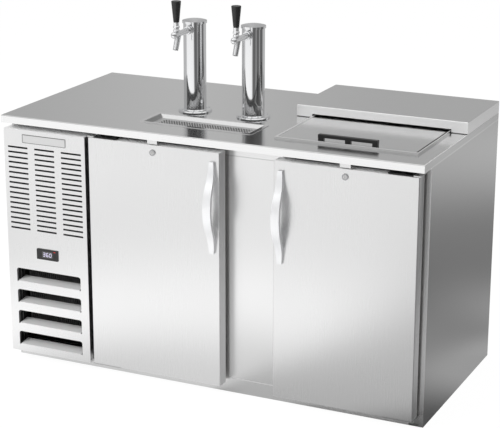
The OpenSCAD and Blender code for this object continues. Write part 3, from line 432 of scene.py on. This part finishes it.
def make_worktop_steel():
    """The right end is painted darker as painted shade, between a painted highlight on the bend above and a
    paler painted highlight on the foot below. The underside is painted pale, as painted light for the gap
    below.
    """
    foot_h = 4 * MM
    # The bend's faces look partly to the right
    bend_low, bend_high = 0.15, 0.95
    steel = top_steel("worktop_steel")
    endward = steel.facing(X)
    end_face = endward > FACING
    above_foot = steel.place(Z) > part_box("worktop")[0].z + foot_h
    # Painted shade on the right end, paler along its foot as a painted highlight
    steel.patch(end_face, steel.shade(level=0.75))
    steel.patch(end_face * above_foot, steel.shade(level=0.64))
    # Painted light: the underside is a pale white that isn't metal
    steel.patch(steel.facing(Z) < -FACING, grey(0.95), SATIN_ROUGH, metal=0.0)
    # The bend gets a satin painted highlight
    return steel.satin((endward > bend_low) * (endward < bend_high), level=0.9).done()


def make_hood_steel():
    """A fine dark line of painted shadow runs along the hood's foot, and the front is a paler satin as
    painted light.
    """
    foot_shadow_h = 2 * MM
    # Painted light on the satin front
    steel = top_steel("hood_steel").satin_shading_front(level=0.9)
    # Painted shadow along the foot of the front
    foot = steel.place(Z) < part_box("hood")[0].z + foot_shadow_h
    return steel.patch(foot * steel.front(), grey(0.05)).done()


def make_track_steel():
    """The track's top is pale as a painted highlight, with a dark strip of painted shadow along the lid's
    right side.
    """
    gap_shadow_w = 5 * MM
    lid_low, lid_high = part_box("lid")
    steel = Steel("track_steel", level=0.70, rough=0.25, along=X)
    # Satin front and top at levels of painted light
    steel.satin_shading_front(LID_EDGE_LEVEL).satin_shading_top(level=0.52)
    # A dark strip of painted shadow in the gap beside the lid
    gap_shadow = steel.within(X, lid_high.x, lid_high.x + gap_shadow_w) * (steel.place(Y) > lid_low.y)
    return steel.shade_coat(gap_shadow, SHADE_BLACK).done()


def make_tray_steel():
    """The side walls and the rim's edge are satin at levels of painted shade, and the floor is painted dark
    as the shade under the perforated plate.
    """
    shade_h = 6 * MM
    rim_h = 2 * MM
    low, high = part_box("drip_tray")
    steel = Steel("tray_steel", level=0.80, rough=0.18, along=X).flat(level=0.92)
    sideward = steel.facing(X)
    rim_edge = (steel.place(Z) > high.z - rim_h) * (steel.facing(Z) < FACING)
    # Painted shade on the side walls and the rim's edge
    steel.satin((sideward * sideward) > FACING * FACING, level=0.35)
    steel.satin(rim_edge, level=0.5)
    # Painted shade on the floor under the plate
    return steel.shade_coat(steel.place(Z) < low.z + shade_h, grey(0.02)).done()


def make_grille_steel():
    """The ledges are pale satin as painted light, and the inside and the slots' cut edges are painted dark
    as painted shade.
    """
    low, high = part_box("front_grille")
    controller_low, controller_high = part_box("controller")
    steel = Steel("grille_steel", DOOR_LEVEL, FRONT_ROUGH, Z)
    ledge = steel.facing(Z) > FACING
    between_walls = steel.within(X, low.x + HAIR, high.x - HAIR)
    bay_side = (steel.place(Y) > low.y + SKIN) * between_walls * (1 - ledge)
    behind_face = (steel.place(Y) > low.y + EDGE) * between_walls
    vent_walls = (steel.facing(X) > FACING) * (steel.place(Z) < controller_low.z) * behind_face
    slot_edges = steel.within(Z, controller_high.z, high.z - SKIN) * behind_face
    # Painted light on the ledges and painted shade on the inside
    steel.satin(ledge, level=0.95).shade_coat(bay_side, SHADE_GREY)
    # The vents' left walls get a satin painted highlight
    steel.satin(vent_walls, level=0.5)
    return steel.shade_coat(slot_edges, SHADE_BLACK).done()


def make_panel_steel():
    """The left side panel is painted black on its inner side, as painted shade."""
    steel = Steel("panel_steel", SHADED_SIDE_LEVEL, SIDE_ROUGH, Z)
    inside = steel.place(X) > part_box("left_side_panel")[0].x + HAIR
    # Painted shade on the inner side
    return steel.shade_coat(inside, SHADE_BLACK).done()


def make_door_skins():
    """The doors are lined on their backs, and their tops are pale satin, painted light in the shade under
    the worktop.
    """
    door_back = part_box("door_left")[1].y
    steel = Steel("door_skins", DOOR_LEVEL, FRONT_ROUGH, Z)
    # Painted light on the door tops
    return steel.lined(Y, door_back - SKIN, True).satin_shading_top(level=0.95).done()


def make_wall_skins():
    """The right wall is painted paler on its front beside the door, as painted light, and lined on its
    inner side.
    """
    steel = Steel("wall_skins", SHADED_SIDE_LEVEL, SIDE_ROUGH, Z)
    beside_door = steel.place(X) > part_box("door_right")[1].x + SKIN
    # Painted light on the front beside the door
    steel.patch(steel.front() * beside_door, steel.shade(level=0.92))
    return steel.lined(X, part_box("right_wall")[0].x + SKIN, False).done()


def make_rear_skins():
    """The rear wall is lined on its inner side."""
    steel = Steel("rear_skins", level=0.5, rough=0.4, along=Z)
    return steel.lined(Y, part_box("rear_wall")[0].y + SKIN, False).done()


def make_mullion_skins():
    """A pale painted highlight runs along the mullion's foot."""
    highlight_h = 2 * MM
    low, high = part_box("mullion")
    steel = Steel("mullion_skins", DOOR_LEVEL, FRAME_ROUGH, Z)
    # Painted highlight along the foot
    steel.satin(steel.place(Z) < low.z + highlight_h, level=0.85)
    return steel.lined(Y, high.y - SKIN, True).done()


def make_rail_skins():
    """The top rail is painted black above the doors as painted shade, and the bottom rail turns pale satin
    under the right door as painted light.
    """
    satin_start, satin_full = 0.05, 0.25
    low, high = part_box("mullion")
    door_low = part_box("door_right")[0]
    steel = Steel("rail_skins", DOOR_LEVEL, FRAME_ROUGH, Z).seamed(Z, high.z)
    over_doors = (steel.place(Z) > high.z) * (1 - steel.within(X, low.x, high.x))
    under_doors = (steel.place(Z) < door_low.z) * steel.front()
    rightward = steel.step(steel.place(X), door_low.x + satin_start, door_low.x + satin_full)
    # Painted light on the bottom rail under the right door
    steel.satin(under_doors * rightward, level=0.95).lined(Y, high.y - SKIN, True)
    # Painted shade on the top rail over the doors
    return steel.patch(over_doors, SHADE_BLACK, rough=0.5, metal=0.0).done()


def make_hinge_steel():
    """The upper hinge brackets are painted black as painted shade, apart from their bright outer ends."""
    bright_end = 24 * MM
    low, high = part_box("hinge_brackets")
    steel = Steel("hinge_black", level=0.8, rough=0.3, along=X)
    shaded_span = steel.within(X, low.x + bright_end, high.x - bright_end)
    upper = steel.place(Z) > (low.z + high.z) / 2
    black = steel.clouded(level=0.01, spread=0.4, size=0.003)
    # Painted shade over the brackets' upper middle
    return steel.patch(shaded_span * upper, black, rough=0.4, metal=0.0).done()


def make_bulkhead_liner():
    """A black breaker strip covers the bulkhead's front edge."""
    finish = liner_white("bulkhead_liner")
    strip = finish.place(Y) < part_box("bulkhead")[0].y + SKIN
    return finish.patch(strip, grey(0.008), rough=0.65).done()


def dress(material, *names):
    """Puts one material on whole CAD nodes."""
    for name in names:
        mesh = nodes[name].data
        mesh.materials.clear()
        mesh.materials.append(material)


SIDES = ("left", "right")
# The lid's front edge is a satin grey at a level of painted light
lid_steel = top_steel("lid_steel").satin_shading_front(LID_EDGE_LEVEL).done()
front_steel = Steel("front_steel", DOOR_LEVEL, FRONT_ROUGH, Z).done()
satin_steel = Steel("satin_steel", level=0.7, rough=0.3, along=Z).done()
# The perforated plate is satin on top, and painted dark in its holes as painted shade
plate_steel = Steel("plate_steel", level=0.02, rough=0.6, along=X).satin_shading_top(level=0.36).done()
door_skins = make_door_skins()
chrome = polished_chrome("chrome").done()
lock_chrome = polished_chrome("lock_chrome", level=0.42, rough=0.2).done()
cap_chrome = polished_chrome("cap_chrome", level=0.9, rough=0.12).done()
handle_chrome = polished_chrome("handle_chrome", level=0.95, rough=0.35, metal=0.3).done()
faucet_chrome = polished_chrome("faucet_chrome", level=0.95, rough=0.14, metal=0.85).done()
black_plastic = moulded_plastic("black_plastic", level=0.018, rough=0.35).done()
fan_plastic = moulded_plastic("fan_plastic", level=0.03, rough=0.5).done()
zinc = galvanised("zinc").done()
liner = liner_white("liner").done()
rubber = soft_rubber("rubber").done()
enamel = machine_paint("enamel", level=0.03).done()
condenser_fins = finned_aluminium("condenser_fins", along=X, shaded_gap_level=0.03, edge_level=0.20).done()
evaporator_fins = finned_aluminium("evaporator_fins", along=Y, shaded_gap_level=0.16, edge_level=0.66).done()

dress(make_worktop_steel(), "worktop")
dress(lid_steel, "lid")
dress(make_hood_steel(), "hood")
dress(make_track_steel(), "lid_track")
dress(make_tray_steel(), "drip_tray")
dress(plate_steel, "drip_grille")
dress(make_grille_steel(), "front_grille")
dress(front_steel, "strikes")
dress(make_panel_steel(), "left_side_panel")
dress(make_wall_skins(), "right_wall")
dress(make_mullion_skins(), "mullion")
dress(make_rail_skins(), "front_rails")
dress(make_rear_skins(), "rear_wall")
dress(zinc, "base_pan", "rear_grille")
dress(liner, "insulated_floor", "insulated_ceiling", "evaporator_cover")
dress(make_bulkhead_liner(), "bulkhead")
dress(rubber, "power_gland")
dress(enamel, "compressor", "condenser_motor", "evaporator_motor", "condenser_shroud")
dress(condenser_fins, "condenser_coil")
dress(evaporator_fins, "evaporator_coil")
dress(fan_plastic, "condenser_fan", "evaporator_fan")
dress(black_plastic, "lid_handle", "controller", "button_set", "button_up")
dress(make_hinge_steel(), "hinge_brackets")
dress(faucet_chrome, "faucet_nuts", "faucet_bonnets", "drain_fitting")
for side in SIDES:
    dress(door_skins, "door_" + side)
    dress(rubber, "door_gasket_" + side)
    dress(black_plastic, "tap_handle_" + side)
    dress(satin_steel, "lock_plug_" + side, "faucet_shaft_" + side)
    dress(chrome, "tower_" + side)
    dress(lock_chrome, "lock_barrel_" + side)
    dress(cap_chrome, "tower_cap_" + side)
    dress(faucet_chrome, "shank_" + side, "faucet_body_" + side, "faucet_lever_" + side)
    dress(handle_chrome, "door_handle_" + side)


# Pieces that are added to the solids

class Shape:
    """A mesh under construction from skins through loops of points."""

    def __init__(self):
        self.form = bmesh.new()

    def skin(self, loops, round_trip=False, lids=(), finish=0):
        """Joins closed loops of points. The last may join the first, or loops may be filled with lids."""
        rings = [[self.form.verts.new(point) for point in loop] for loop in loops]
        pairs = list(zip(rings, rings[1:]))
        if round_trip:
            pairs.append((rings[-1], rings[0]))
        faces = [self.form.faces.new(rings[end]) for end in lids]
        for ring, following in pairs:
            for i, corner in enumerate(ring):
                j = (i + 1) % len(ring)
                faces.append(self.form.faces.new((corner, ring[j], following[j], following[i])))
        for face in faces:
            face.material_index = finish

    def piece(self, name, materials, body):
        """Makes the mesh an object that rides on a body."""
        bmesh.ops.recalc_face_normals(self.form, faces=self.form.faces)
        mesh = bpy.data.meshes.new(name)
        self.form.to_mesh(mesh)
        self.form.free()
        for material in materials:
            mesh.materials.append(material)
        made = bpy.data.objects.new(name, mesh)
        bpy.context.scene.collection.objects.link(made)
        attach(made, body)
        return made


CORNER_STEPS = 4
LEAST_CORNER = 0.1 * MM


def round_box(width, height, corner):
    """Points round a rectangle with rounded corners about its middle, across and up."""
    points = []
    for quarter, (across, up) in enumerate(((1, 1), (-1, 1), (-1, -1), (1, -1))):
        for step in range(CORNER_STEPS + 1):
            angle = math.pi / 2 * (quarter + step / CORNER_STEPS)
            points.append((
                across * (width / 2 - corner) + corner * math.cos(angle),
                up * (height / 2 - corner) + corner * math.sin(angle),
            ))
    return points


def front_loops(centre, width, height, corner, rows):
    """Loops of a plate that faces the front. Each row is an inset and a height above the plate's back."""
    loops = []
    for inset, lift in rows:
        outline = round_box(width - 2 * inset, height - 2 * inset, max(corner - inset, LEAST_CORNER))
        loops.append([(centre[0] + across, centre[1] - lift, centre[2] + up) for across, up in outline])
    return loops


# Bellows of a door gasket: distance in from its outer edge and from the door, in millimetres
BELLOWS = (
    (4, 0), (14, 0), (14, 3), (17, 4.5), (15, 6.5), (17.5, 8.5), (16, 10.5), (18, 11.5), (18, 15),
    (0, 15), (0, 11.5), (2, 10.5), (0.5, 8.5), (3, 6.5), (1, 4.5), (4, 3),
)


def make_gasket(side):
    """A gasket with bellows in place of the plain ring."""
    low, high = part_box("door_gasket_" + side)
    shape = Shape()
    loops = []
    for inset, lift in BELLOWS:
        left, right = low.x + inset * MM, high.x - inset * MM
        foot, head = low.z + inset * MM, high.z - inset * MM
        depth = low.y + lift * MM
        loops.append([(left, depth, foot), (right, depth, foot), (right, depth, head), (left, depth, head)])
    shape.skin(loops, round_trip=True)
    gasket = shape.piece("bellows_gasket_" + side, [rubber], "door_" + side)
    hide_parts("door_gasket_" + side)


# Half outline of a screw head: radius and height, in head radii
DOME = ((1.0, 0.0), (1.0, 0.18), (0.93, 0.34), (0.78, 0.47), (0.60, 0.54))
SOCKET_R = 0.44
SOCKET_RIM = 0.55
SOCKET_FLOOR = 0.16
SCREW_POINTS = 18
FOOT_SCREW_R = 4.5 * MM
SCREW_R = 4 * MM
# Directions in which screw heads look
UPWARD = Vector((0, 0, 1))
BACKWARD = Vector((0, 1, 0))
FORWARD = Vector((0, -1, 0))
RIGHTWARD = Vector((1, 0, 0))


def add_screw(shape, place, axis, radius):
    """A domed screw head with a six-sided socket, standing on a place along an axis."""
    turn = UPWARD.rotation_difference(axis).to_matrix()
    angles = [2 * math.pi * i / SCREW_POINTS for i in range(SCREW_POINTS)]

    def ring(distance, height):
        loop = []
        for angle in angles:
            reach = distance(angle) * radius
            local = Vector((reach * math.cos(angle), reach * math.sin(angle), height * radius))
            loop.append(Vector(place) + turn @ local)
        return loop

    def six_sided(angle):
        return SOCKET_R / math.cos(angle % (math.pi / 3) - math.pi / 6)

    loops = [ring(lambda angle: wide, height) for wide, height in DOME]
    loops += [ring(six_sided, SOCKET_RIM), ring(six_sided, SOCKET_FLOOR)]
    shape.skin(loops, lids=(-1,))


def make_screws(name, places, axis, radius, material):
    """One piece of several screw heads on the cabinet."""
    shape = Shape()
    for place in places:
        add_screw(shape, place, axis, radius)
    shape.piece(name, [material], "cabinet")


def make_tower_screws():
    """Four screws on each tower's foot flange."""
    ring_r = 48 * MM
    foot_t = 7 * MM
    places = []
    for side in SIDES:
        low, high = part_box("tower_" + side)
        middle = (low + high) / 2
        for quarter in range(4):
            angle = math.pi / 4 + quarter * math.pi / 2
            places.append((
                middle.x + ring_r * math.cos(angle), middle.y + ring_r * math.sin(angle), low.z + foot_t,
            ))
    make_screws("tower_foot_screws", places, UPWARD, FOOT_SCREW_R, chrome)


def make_panel_screws():
    """Screws near the edges of the rear grille and of the evaporator's cover."""
    inset = 11 * MM
    low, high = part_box("rear_grille")
    heights = (low.z + inset, (low.z + high.z) / 2, high.z - inset)
    places = [(x, high.y, z) for x in (low.x + inset, high.x - inset) for z in heights]
    make_screws("rear_grille_screws", places, BACKWARD, SCREW_R, satin_steel)
    low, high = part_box("evaporator_cover")
    corners = [(y, z) for y in (low.y + inset, high.y - inset) for z in (low.z + inset, high.z - inset)]
    places = [(high.x, y, z) for y, z in corners]
    make_screws("evaporator_cover_screws", places, RIGHTWARD, SCREW_R, satin_steel)


def make_hinge_screws():
    """Two screws on each hinge bracket."""
    plate_t = 3 * MM
    plate_h = 13 * MM
    along = (40 * MM, 80 * MM)
    low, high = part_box("hinge_brackets")
    front = high.y - plate_t
    places = []
    for z in (low.z + plate_h, high.z - plate_h / 2):
        places += [(low.x + step, front, z) for step in along]
        places += [(high.x - step, front, z) for step in along]
    make_screws("hinge_screws", places, FORWARD, SCREW_R, satin_steel)


NAMEPLATE_W, NAMEPLATE_H = 168 * MM, 29 * MM
NAMEPLATE_X, NAMEPLATE_Z = -590.4 * MM, 802.5 * MM
NAMEPLATE_R = 2 * MM


def make_nameplate():
    """A bare plate with a raised dark rim."""
    rim_w, rim_h, rim_side_h, rim_bevel = 1.4 * MM, 1.3 * MM, 1.0 * MM, 0.3 * MM
    face_edge_h, face_h, face_inset = 0.7 * MM, 0.9 * MM, 2.2 * MM
    plate_rim = moulded_plastic("plate_rim", level=0.12, rough=0.4).done()
    plate_face = Steel("plate_face", level=0.80, rough=0.3, along=X).done()
    centre = (NAMEPLATE_X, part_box("front_grille")[0].y, NAMEPLATE_Z)
    rim = ((0, 0), (0, rim_side_h), (rim_bevel, rim_h), (rim_w, rim_h), (rim_w, face_edge_h))
    face = ((rim_w, face_edge_h), (face_inset, face_h))
    shape = Shape()
    shape.skin(front_loops(centre, NAMEPLATE_W, NAMEPLATE_H, NAMEPLATE_R, rim))
    shape.skin(front_loops(centre, NAMEPLATE_W, NAMEPLATE_H, NAMEPLATE_R, face), lids=(-1,), finish=1)
    shape.piece("bare_nameplate", [plate_rim, plate_face], "cabinet")


# Bars of a figure: place across in figure widths, place up in half heights, and whether it stands upright
BARS = (
    (0, 1, False), (-0.5, 0.5, True), (0.5, 0.5, True), (0, 0, False),
    (-0.5, -0.5, True), (0.5, -0.5, True), (0, -1, False),
)
# Which of the bars are lit in each figure
FIGURES = {"3": "1011011", "6": "1101111", "0": "1110111"}
READING = "360"
FIGURE_W, FIGURE_H = 7.2 * MM, 12.6 * MM
FIGURE_PITCH = 12.4 * MM
FIGURE_LEAN = 0.08
BAR_T = 2.0 * MM
BAR_H = 0.15 * MM
BAR_GAP = 0.3 * MM


def add_bar(shape, centre, middle, length, upright):
    """One pointed bar of a figure, set on the display."""
    long, half = length / 2, BAR_T / 2
    upper = [(-long, 0), (half - long, half), (long - half, half)]
    outline = upper + [(-along, -across) for along, across in upper]
    back, front = [], []
    for along, across in outline:
        x, z = (across, along) if upright else (along, across)
        x, z = x + middle[0], z + middle[1]
        point = (centre[0] + x + FIGURE_LEAN * z, centre[2] + z)
        back.append((point[0], centre[1], point[1]))
        front.append((point[0], centre[1] - BAR_H, point[1]))
    shape.skin([back, front], lids=(-1,))


def make_display_panel(floor, panel_t):
    """A grey panel on the floor of the controller's window."""
    window_w, window_h, window_r = 41 * MM, 23 * MM, 1 * MM
    edge, bevel = 0.3 * MM, 0.1 * MM
    display_grey = moulded_plastic("display_grey", level=0.10, rough=0.2).done()
    rows = ((edge, 0), (edge, panel_t - bevel), (2 * edge, panel_t))
    shape = Shape()
    shape.skin(front_loops(floor, window_w, window_h, window_r, rows), lids=(-1,))
    shape.piece("display_panel", [display_grey], "cabinet")


def make_figures(face):
    """Lit figures on the display panel, with a point before the last."""
    figure_glow = glowing("figure_glow", strength=0.5, colour=(0.55, 0.52, 0.70)).done()
    shape = Shape()
    for i, figure in enumerate(READING):
        start = (i - 1) * FIGURE_PITCH
        for lit, (across, up, upright) in zip(FIGURES[figure], BARS):
            spot = (start + across * FIGURE_W, up * FIGURE_H / 2)
            length = FIGURE_H / 2 if upright else FIGURE_W
            if lit == "1":
                add_bar(shape, face, spot, length - BAR_GAP, upright)
    add_bar(shape, face, (FIGURE_PITCH / 2, -FIGURE_H / 2), BAR_T, False)
    shape.piece("display_figures", [figure_glow], "cabinet")


def make_running_lamp(place):
    """A small red lamp on the controller's face."""
    lamp_w, lamp_h, lamp_r = 8 * MM, 2 * MM, 0.6 * MM
    lamp_t, edge = 0.5 * MM, 0.3 * MM
    lamp_red = glowing("lamp_red", strength=0.35, colour=(0.60, 0.02, 0.02)).done()
    rows = ((0, 0), (0, edge), (edge, lamp_t))
    shape = Shape()
    shape.skin(front_loops(place, lamp_w, lamp_h, lamp_r, rows), lids=(-1,))
    shape.piece("running_lamp", [lamp_red], "cabinet")


def make_display():
    """The display in the controller's window, and the lamp near it."""
    window_depth = 0.8 * MM
    panel_t = 0.4 * MM
    lamp_across, lamp_up = 29 * MM, 13 * MM
    low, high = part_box("controller")
    middle = (low + high) / 2
    floor = (middle.x, low.y + window_depth, middle.z)
    make_display_panel(floor, panel_t)
    make_figures((floor[0], floor[1] - panel_t, floor[2]))
    make_running_lamp((middle.x + lamp_across, low.y, middle.z + lamp_up))


for side in SIDES:
    make_gasket(side)
make_tower_screws()
make_panel_screws()
make_hinge_screws()
make_nameplate()
make_display()


# Stage

# Camera of the photo: sizes in pixels, place in metres and angles in degrees
IMAGE_W, IMAGE_H = 500, 428
FOCAL_PX = 1646.886
CENTRE_PX = (247.77, 212.56)
CAMERA_PLACE = (2.28491, -4.88792, 2.17596)
CAMERA_TURN = 25.150
CAMERA_DIP = 16.958
CAMERA_ROLL = 0.079
SENSOR = 36.0

FLOOR_HALF = 9.0
FLOOR_DROP = 0.5 * MM
FLOOR_LEVEL = 0.85
# White of the floor where the camera sees it, with room for the soft shadow under the part
SEEN_WHITE = 1.05
# How much of the floor's light is its own glow, as the camera sees it and as metal mirrors it
SEEN_GLOW = 0.92
MIRRORED_GLOW = 0.85
# Middle of the two towers, which mirror the studio all round
TOWERS_X = -0.08

# Bearings in the studio, in degrees: start, end and softness of an arc, or start and end of a rise
BRIGHT_ARC = (-157, -73, 6)
REAR_RIGHT_RISE = (30, 44)
REAR_LEFT_RISE = (-150, -165)
NEAR_FRONT_RISE = (-25, -42)
NEAR_RIGHT_RISE = (-15, 12)
REAR_GLOW_ARC = (114, 120.5, 4)
# Brightness and arc of the pale stripes at the front right
STRIPES = ((0.22, (-43, -33, 3)), (0.28, (-7, 3, 4)))

# Brightness of the floor as metal mirrors it, and the reaches from its middle, in metres, where it changes
FRONT_DIM = 0.07
NEAR_DIM = 0.45
FAR_REACH = (1.2, 2.6)
RIGHT_OUTER = 0.18
RIGHT_OUTER_REACH = (1.7, 1.2)
RIGHT_INNER = 0.20
RIGHT_INNER_REACH = (1.06, 0.88)
REAR_GREY = 0.18
REAR_FAR = 0.34
REAR_FAR_REACH = (2.2, 3.2)
REAR_CREST = 0.12
REAR_CREST_REACH = (3.28, 3.85, 0.33)
FRONT_BRIGHT = 1.05
# The bright arc's share near the middle, and how it changes with the reach
BRIGHT_START = 0.70
BRIGHT_CHANGES = ((0.42, (0.6, 1.15)), (-0.36, (1.3, 2.0)), (0.24, (2.3, 3.1)))

# Brightness of the sky as metal mirrors it, and the parts of a direction between which it changes
SKY_BEHIND = 0.42
SKY_REAR_GLOW = 0.085
SKY_LOW_FRONT = 0.06
SKY_HIGH_FRONT = 0.55
HIGH_FRONT_UP = (0.34, 0.52)
SKY_STRIPES = 0.35
SKY_FRONT_LEFT = 1.0
FRONT_LEFT_UP = (0.36, 0.47)
FRONT_LEFT_ASIDE = (0.1, -0.25)
FRONT_LEFT_BACK = (0.1, -0.3)
SKY_ABOVE = 0.95
ABOVE_UP = (0.55, 0.85)
# Brightness of the sky as it lights what isn't metal
AMBIENT = 0.45


def make_camera():
    """A camera that sees the part as the photo does."""
    data = bpy.data.cameras.new("camera")
    data.sensor_width = SENSOR
    data.lens = FOCAL_PX * SENSOR / IMAGE_W
    data.shift_x = (IMAGE_W / 2 - CENTRE_PX[0]) / IMAGE_W
    data.shift_y = (CENTRE_PX[1] - IMAGE_H / 2) / IMAGE_W
    camera = bpy.data.objects.new("camera", data)
    bpy.context.scene.collection.objects.link(camera)
    aim = Euler((math.radians(90 - CAMERA_DIP), 0, math.radians(CAMERA_TURN))).to_matrix()
    camera.matrix_world = (aim @ Matrix.Rotation(math.radians(CAMERA_ROLL), 3, "Z")).to_4x4()
    camera.location = CAMERA_PLACE
    bpy.context.scene.camera = camera


def studio_stripes(shader, bearing):
    """Pale upright stripes at the front right of the studio."""
    return sum(level * shader.band(bearing, *arc) for level, arc in STRIPES)


def studio_rear(shader, bearing):
    """1 at the back and the far left of the studio."""
    return shader.step(bearing, *REAR_RIGHT_RISE) + shader.step(bearing, *REAR_LEFT_RISE)


def floor_shine(shader):
    """What metal sees of the floor: a bright front left, a dim front right and a grey rear."""
    across, back = shader.place(X), shader.place(Y)
    bearing = shader.bearing(across - TOWERS_X, back)
    reach = shader.math("POWER", across * across + back * back, 0.5)
    far = shader.step(reach, *FAR_REACH)
    rear = studio_rear(shader, bearing)
    bright = shader.band(bearing, *BRIGHT_ARC)
    near_front = (1 - far) * shader.step(bearing, *NEAR_FRONT_RISE)
    front = FRONT_DIM + (NEAR_DIM - FRONT_DIM) * near_front
    outer = RIGHT_OUTER * shader.step(reach, *RIGHT_OUTER_REACH)
    inner = RIGHT_INNER * shader.step(reach, *RIGHT_INNER_REACH)
    near_right = shader.step(bearing, *NEAR_RIGHT_RISE) * (outer + inner)
    rear_far = REAR_FAR * shader.step(reach, *REAR_FAR_REACH)
    rear_crest = REAR_CREST * shader.band(reach, *REAR_CREST_REACH)
    swell = BRIGHT_START + sum(change * shader.step(reach, *rise) for change, rise in BRIGHT_CHANGES)
    return (
        front * (1 - bright) * (1 - rear) + FRONT_BRIGHT * bright * swell
        + studio_stripes(shader, bearing) * far + near_right + rear * (REAR_GREY + rear_far + rear_crest)
    )


def make_floor():
    """A floor that is white to the camera, and that metal mirrors as a studio."""
    half = FLOOR_HALF
    mesh = bpy.data.meshes.new("floor")
    corners = [(-half, -half, 0), (half, -half, 0), (half, half, 0), (-half, half, 0)]
    mesh.from_pydata(corners, [], [(0, 1, 2, 3)])
    floor = bpy.data.objects.new("floor", mesh)
    floor.location.z = -FLOOR_DROP
    bpy.context.scene.collection.objects.link(floor)
    material = bpy.data.materials.new("pale_floor")
    shader = Shader(material)
    seen = shader.ray("Is Camera Ray")
    shine = floor_shine(shader)
    shine_grey = shader.node("ShaderNodeCombineColor", {}, {0: shine, 1: shine, 2: shine})
    tone = shader.blend(seen, shine_grey, grey(SEEN_WHITE))
    lit = shader.node("ShaderNodeBsdfDiffuse", {}, {"Color": grey(FLOOR_LEVEL)})
    glow = shader.node("ShaderNodeEmission", {}, {"Color": tone, "Strength": 1.0})
    glow_share = SEEN_GLOW * seen + MIRRORED_GLOW * shader.mirror_rays()
    mixed = shader.node("ShaderNodeMixShader", {}, {0: glow_share, 1: lit, 2: glow})
    shader.node("ShaderNodeOutputMaterial", {}, {"Surface": mixed})
    mesh.materials.append(material)


def sky_glow(shader):
    """What metal sees of the sky."""
    direction = shader.node("ShaderNodeTexCoord", {}, {}, "Generated")
    sideward, backward, upward = [shader.part(direction, axis) for axis in (X, Y, Z)]
    bearing = shader.bearing(sideward, backward)
    rear = studio_rear(shader, bearing)
    rear_light = SKY_BEHIND + SKY_REAR_GLOW * shader.band(bearing, *REAR_GLOW_ARC)
    front_rise = (SKY_HIGH_FRONT - SKY_LOW_FRONT) * shader.step(upward, *HIGH_FRONT_UP)
    stripes = SKY_STRIPES * studio_stripes(shader, bearing)
    all_round = rear_light * rear + (SKY_LOW_FRONT + front_rise + stripes) * (1 - rear)
    left = shader.step(sideward, *FRONT_LEFT_ASIDE) * shader.step(backward, *FRONT_LEFT_BACK)
    front_left = SKY_FRONT_LEFT * shader.step(upward, *FRONT_LEFT_UP) * left
    overhead = SKY_ABOVE * shader.step(upward, *ABOVE_UP)
    return shader.math("MAXIMUM", shader.math("MAXIMUM", all_round, front_left), overhead)


def make_world():
    """A sky that is white to the camera, and that metal mirrors as a studio."""
    world = bpy.data.worlds.new("studio")
    bpy.context.scene.world = world
    shader = Shader(world)
    seen = shader.ray("Is Camera Ray")
    mirrored = shader.mirror_rays()
    strength = seen + (1 - seen) * (mirrored * sky_glow(shader) + (1 - mirrored) * AMBIENT)
    sky = shader.node("ShaderNodeBackground", {}, {"Color": grey(1.0), "Strength": strength})
    shader.node("ShaderNodeOutputWorld", {}, {"Surface": sky})


def make_lamp(name, place, target, size, power):
    """A soft lamp that metal doesn't mirror."""
    data = bpy.data.lights.new(name, "AREA")
    data.shape = "RECTANGLE"
    data.size, data.size_y = size
    data.energy = power
    lamp = bpy.data.objects.new(name, data)
    lamp.visible_glossy = False
    bpy.context.scene.collection.objects.link(lamp)
    lamp.location = place
    aim = Vector(target) - Vector(place)
    lamp.rotation_euler = aim.to_track_quat("-Z", "Y").to_euler()


make_camera()
make_floor()
make_world()
make_lamp("front_left_softbox", place=(-2.6, -3.6, 3.4), target=(0, -0.4, 0.4), size=(2.6, 2.0), power=180)
make_lamp("top_softbox", place=(0.2, 0.4, 4.2), target=(0, 0, 0.8), size=(3.0, 2.0), power=60)

scene = bpy.context.scene
scene.view_settings.view_transform = "Standard"
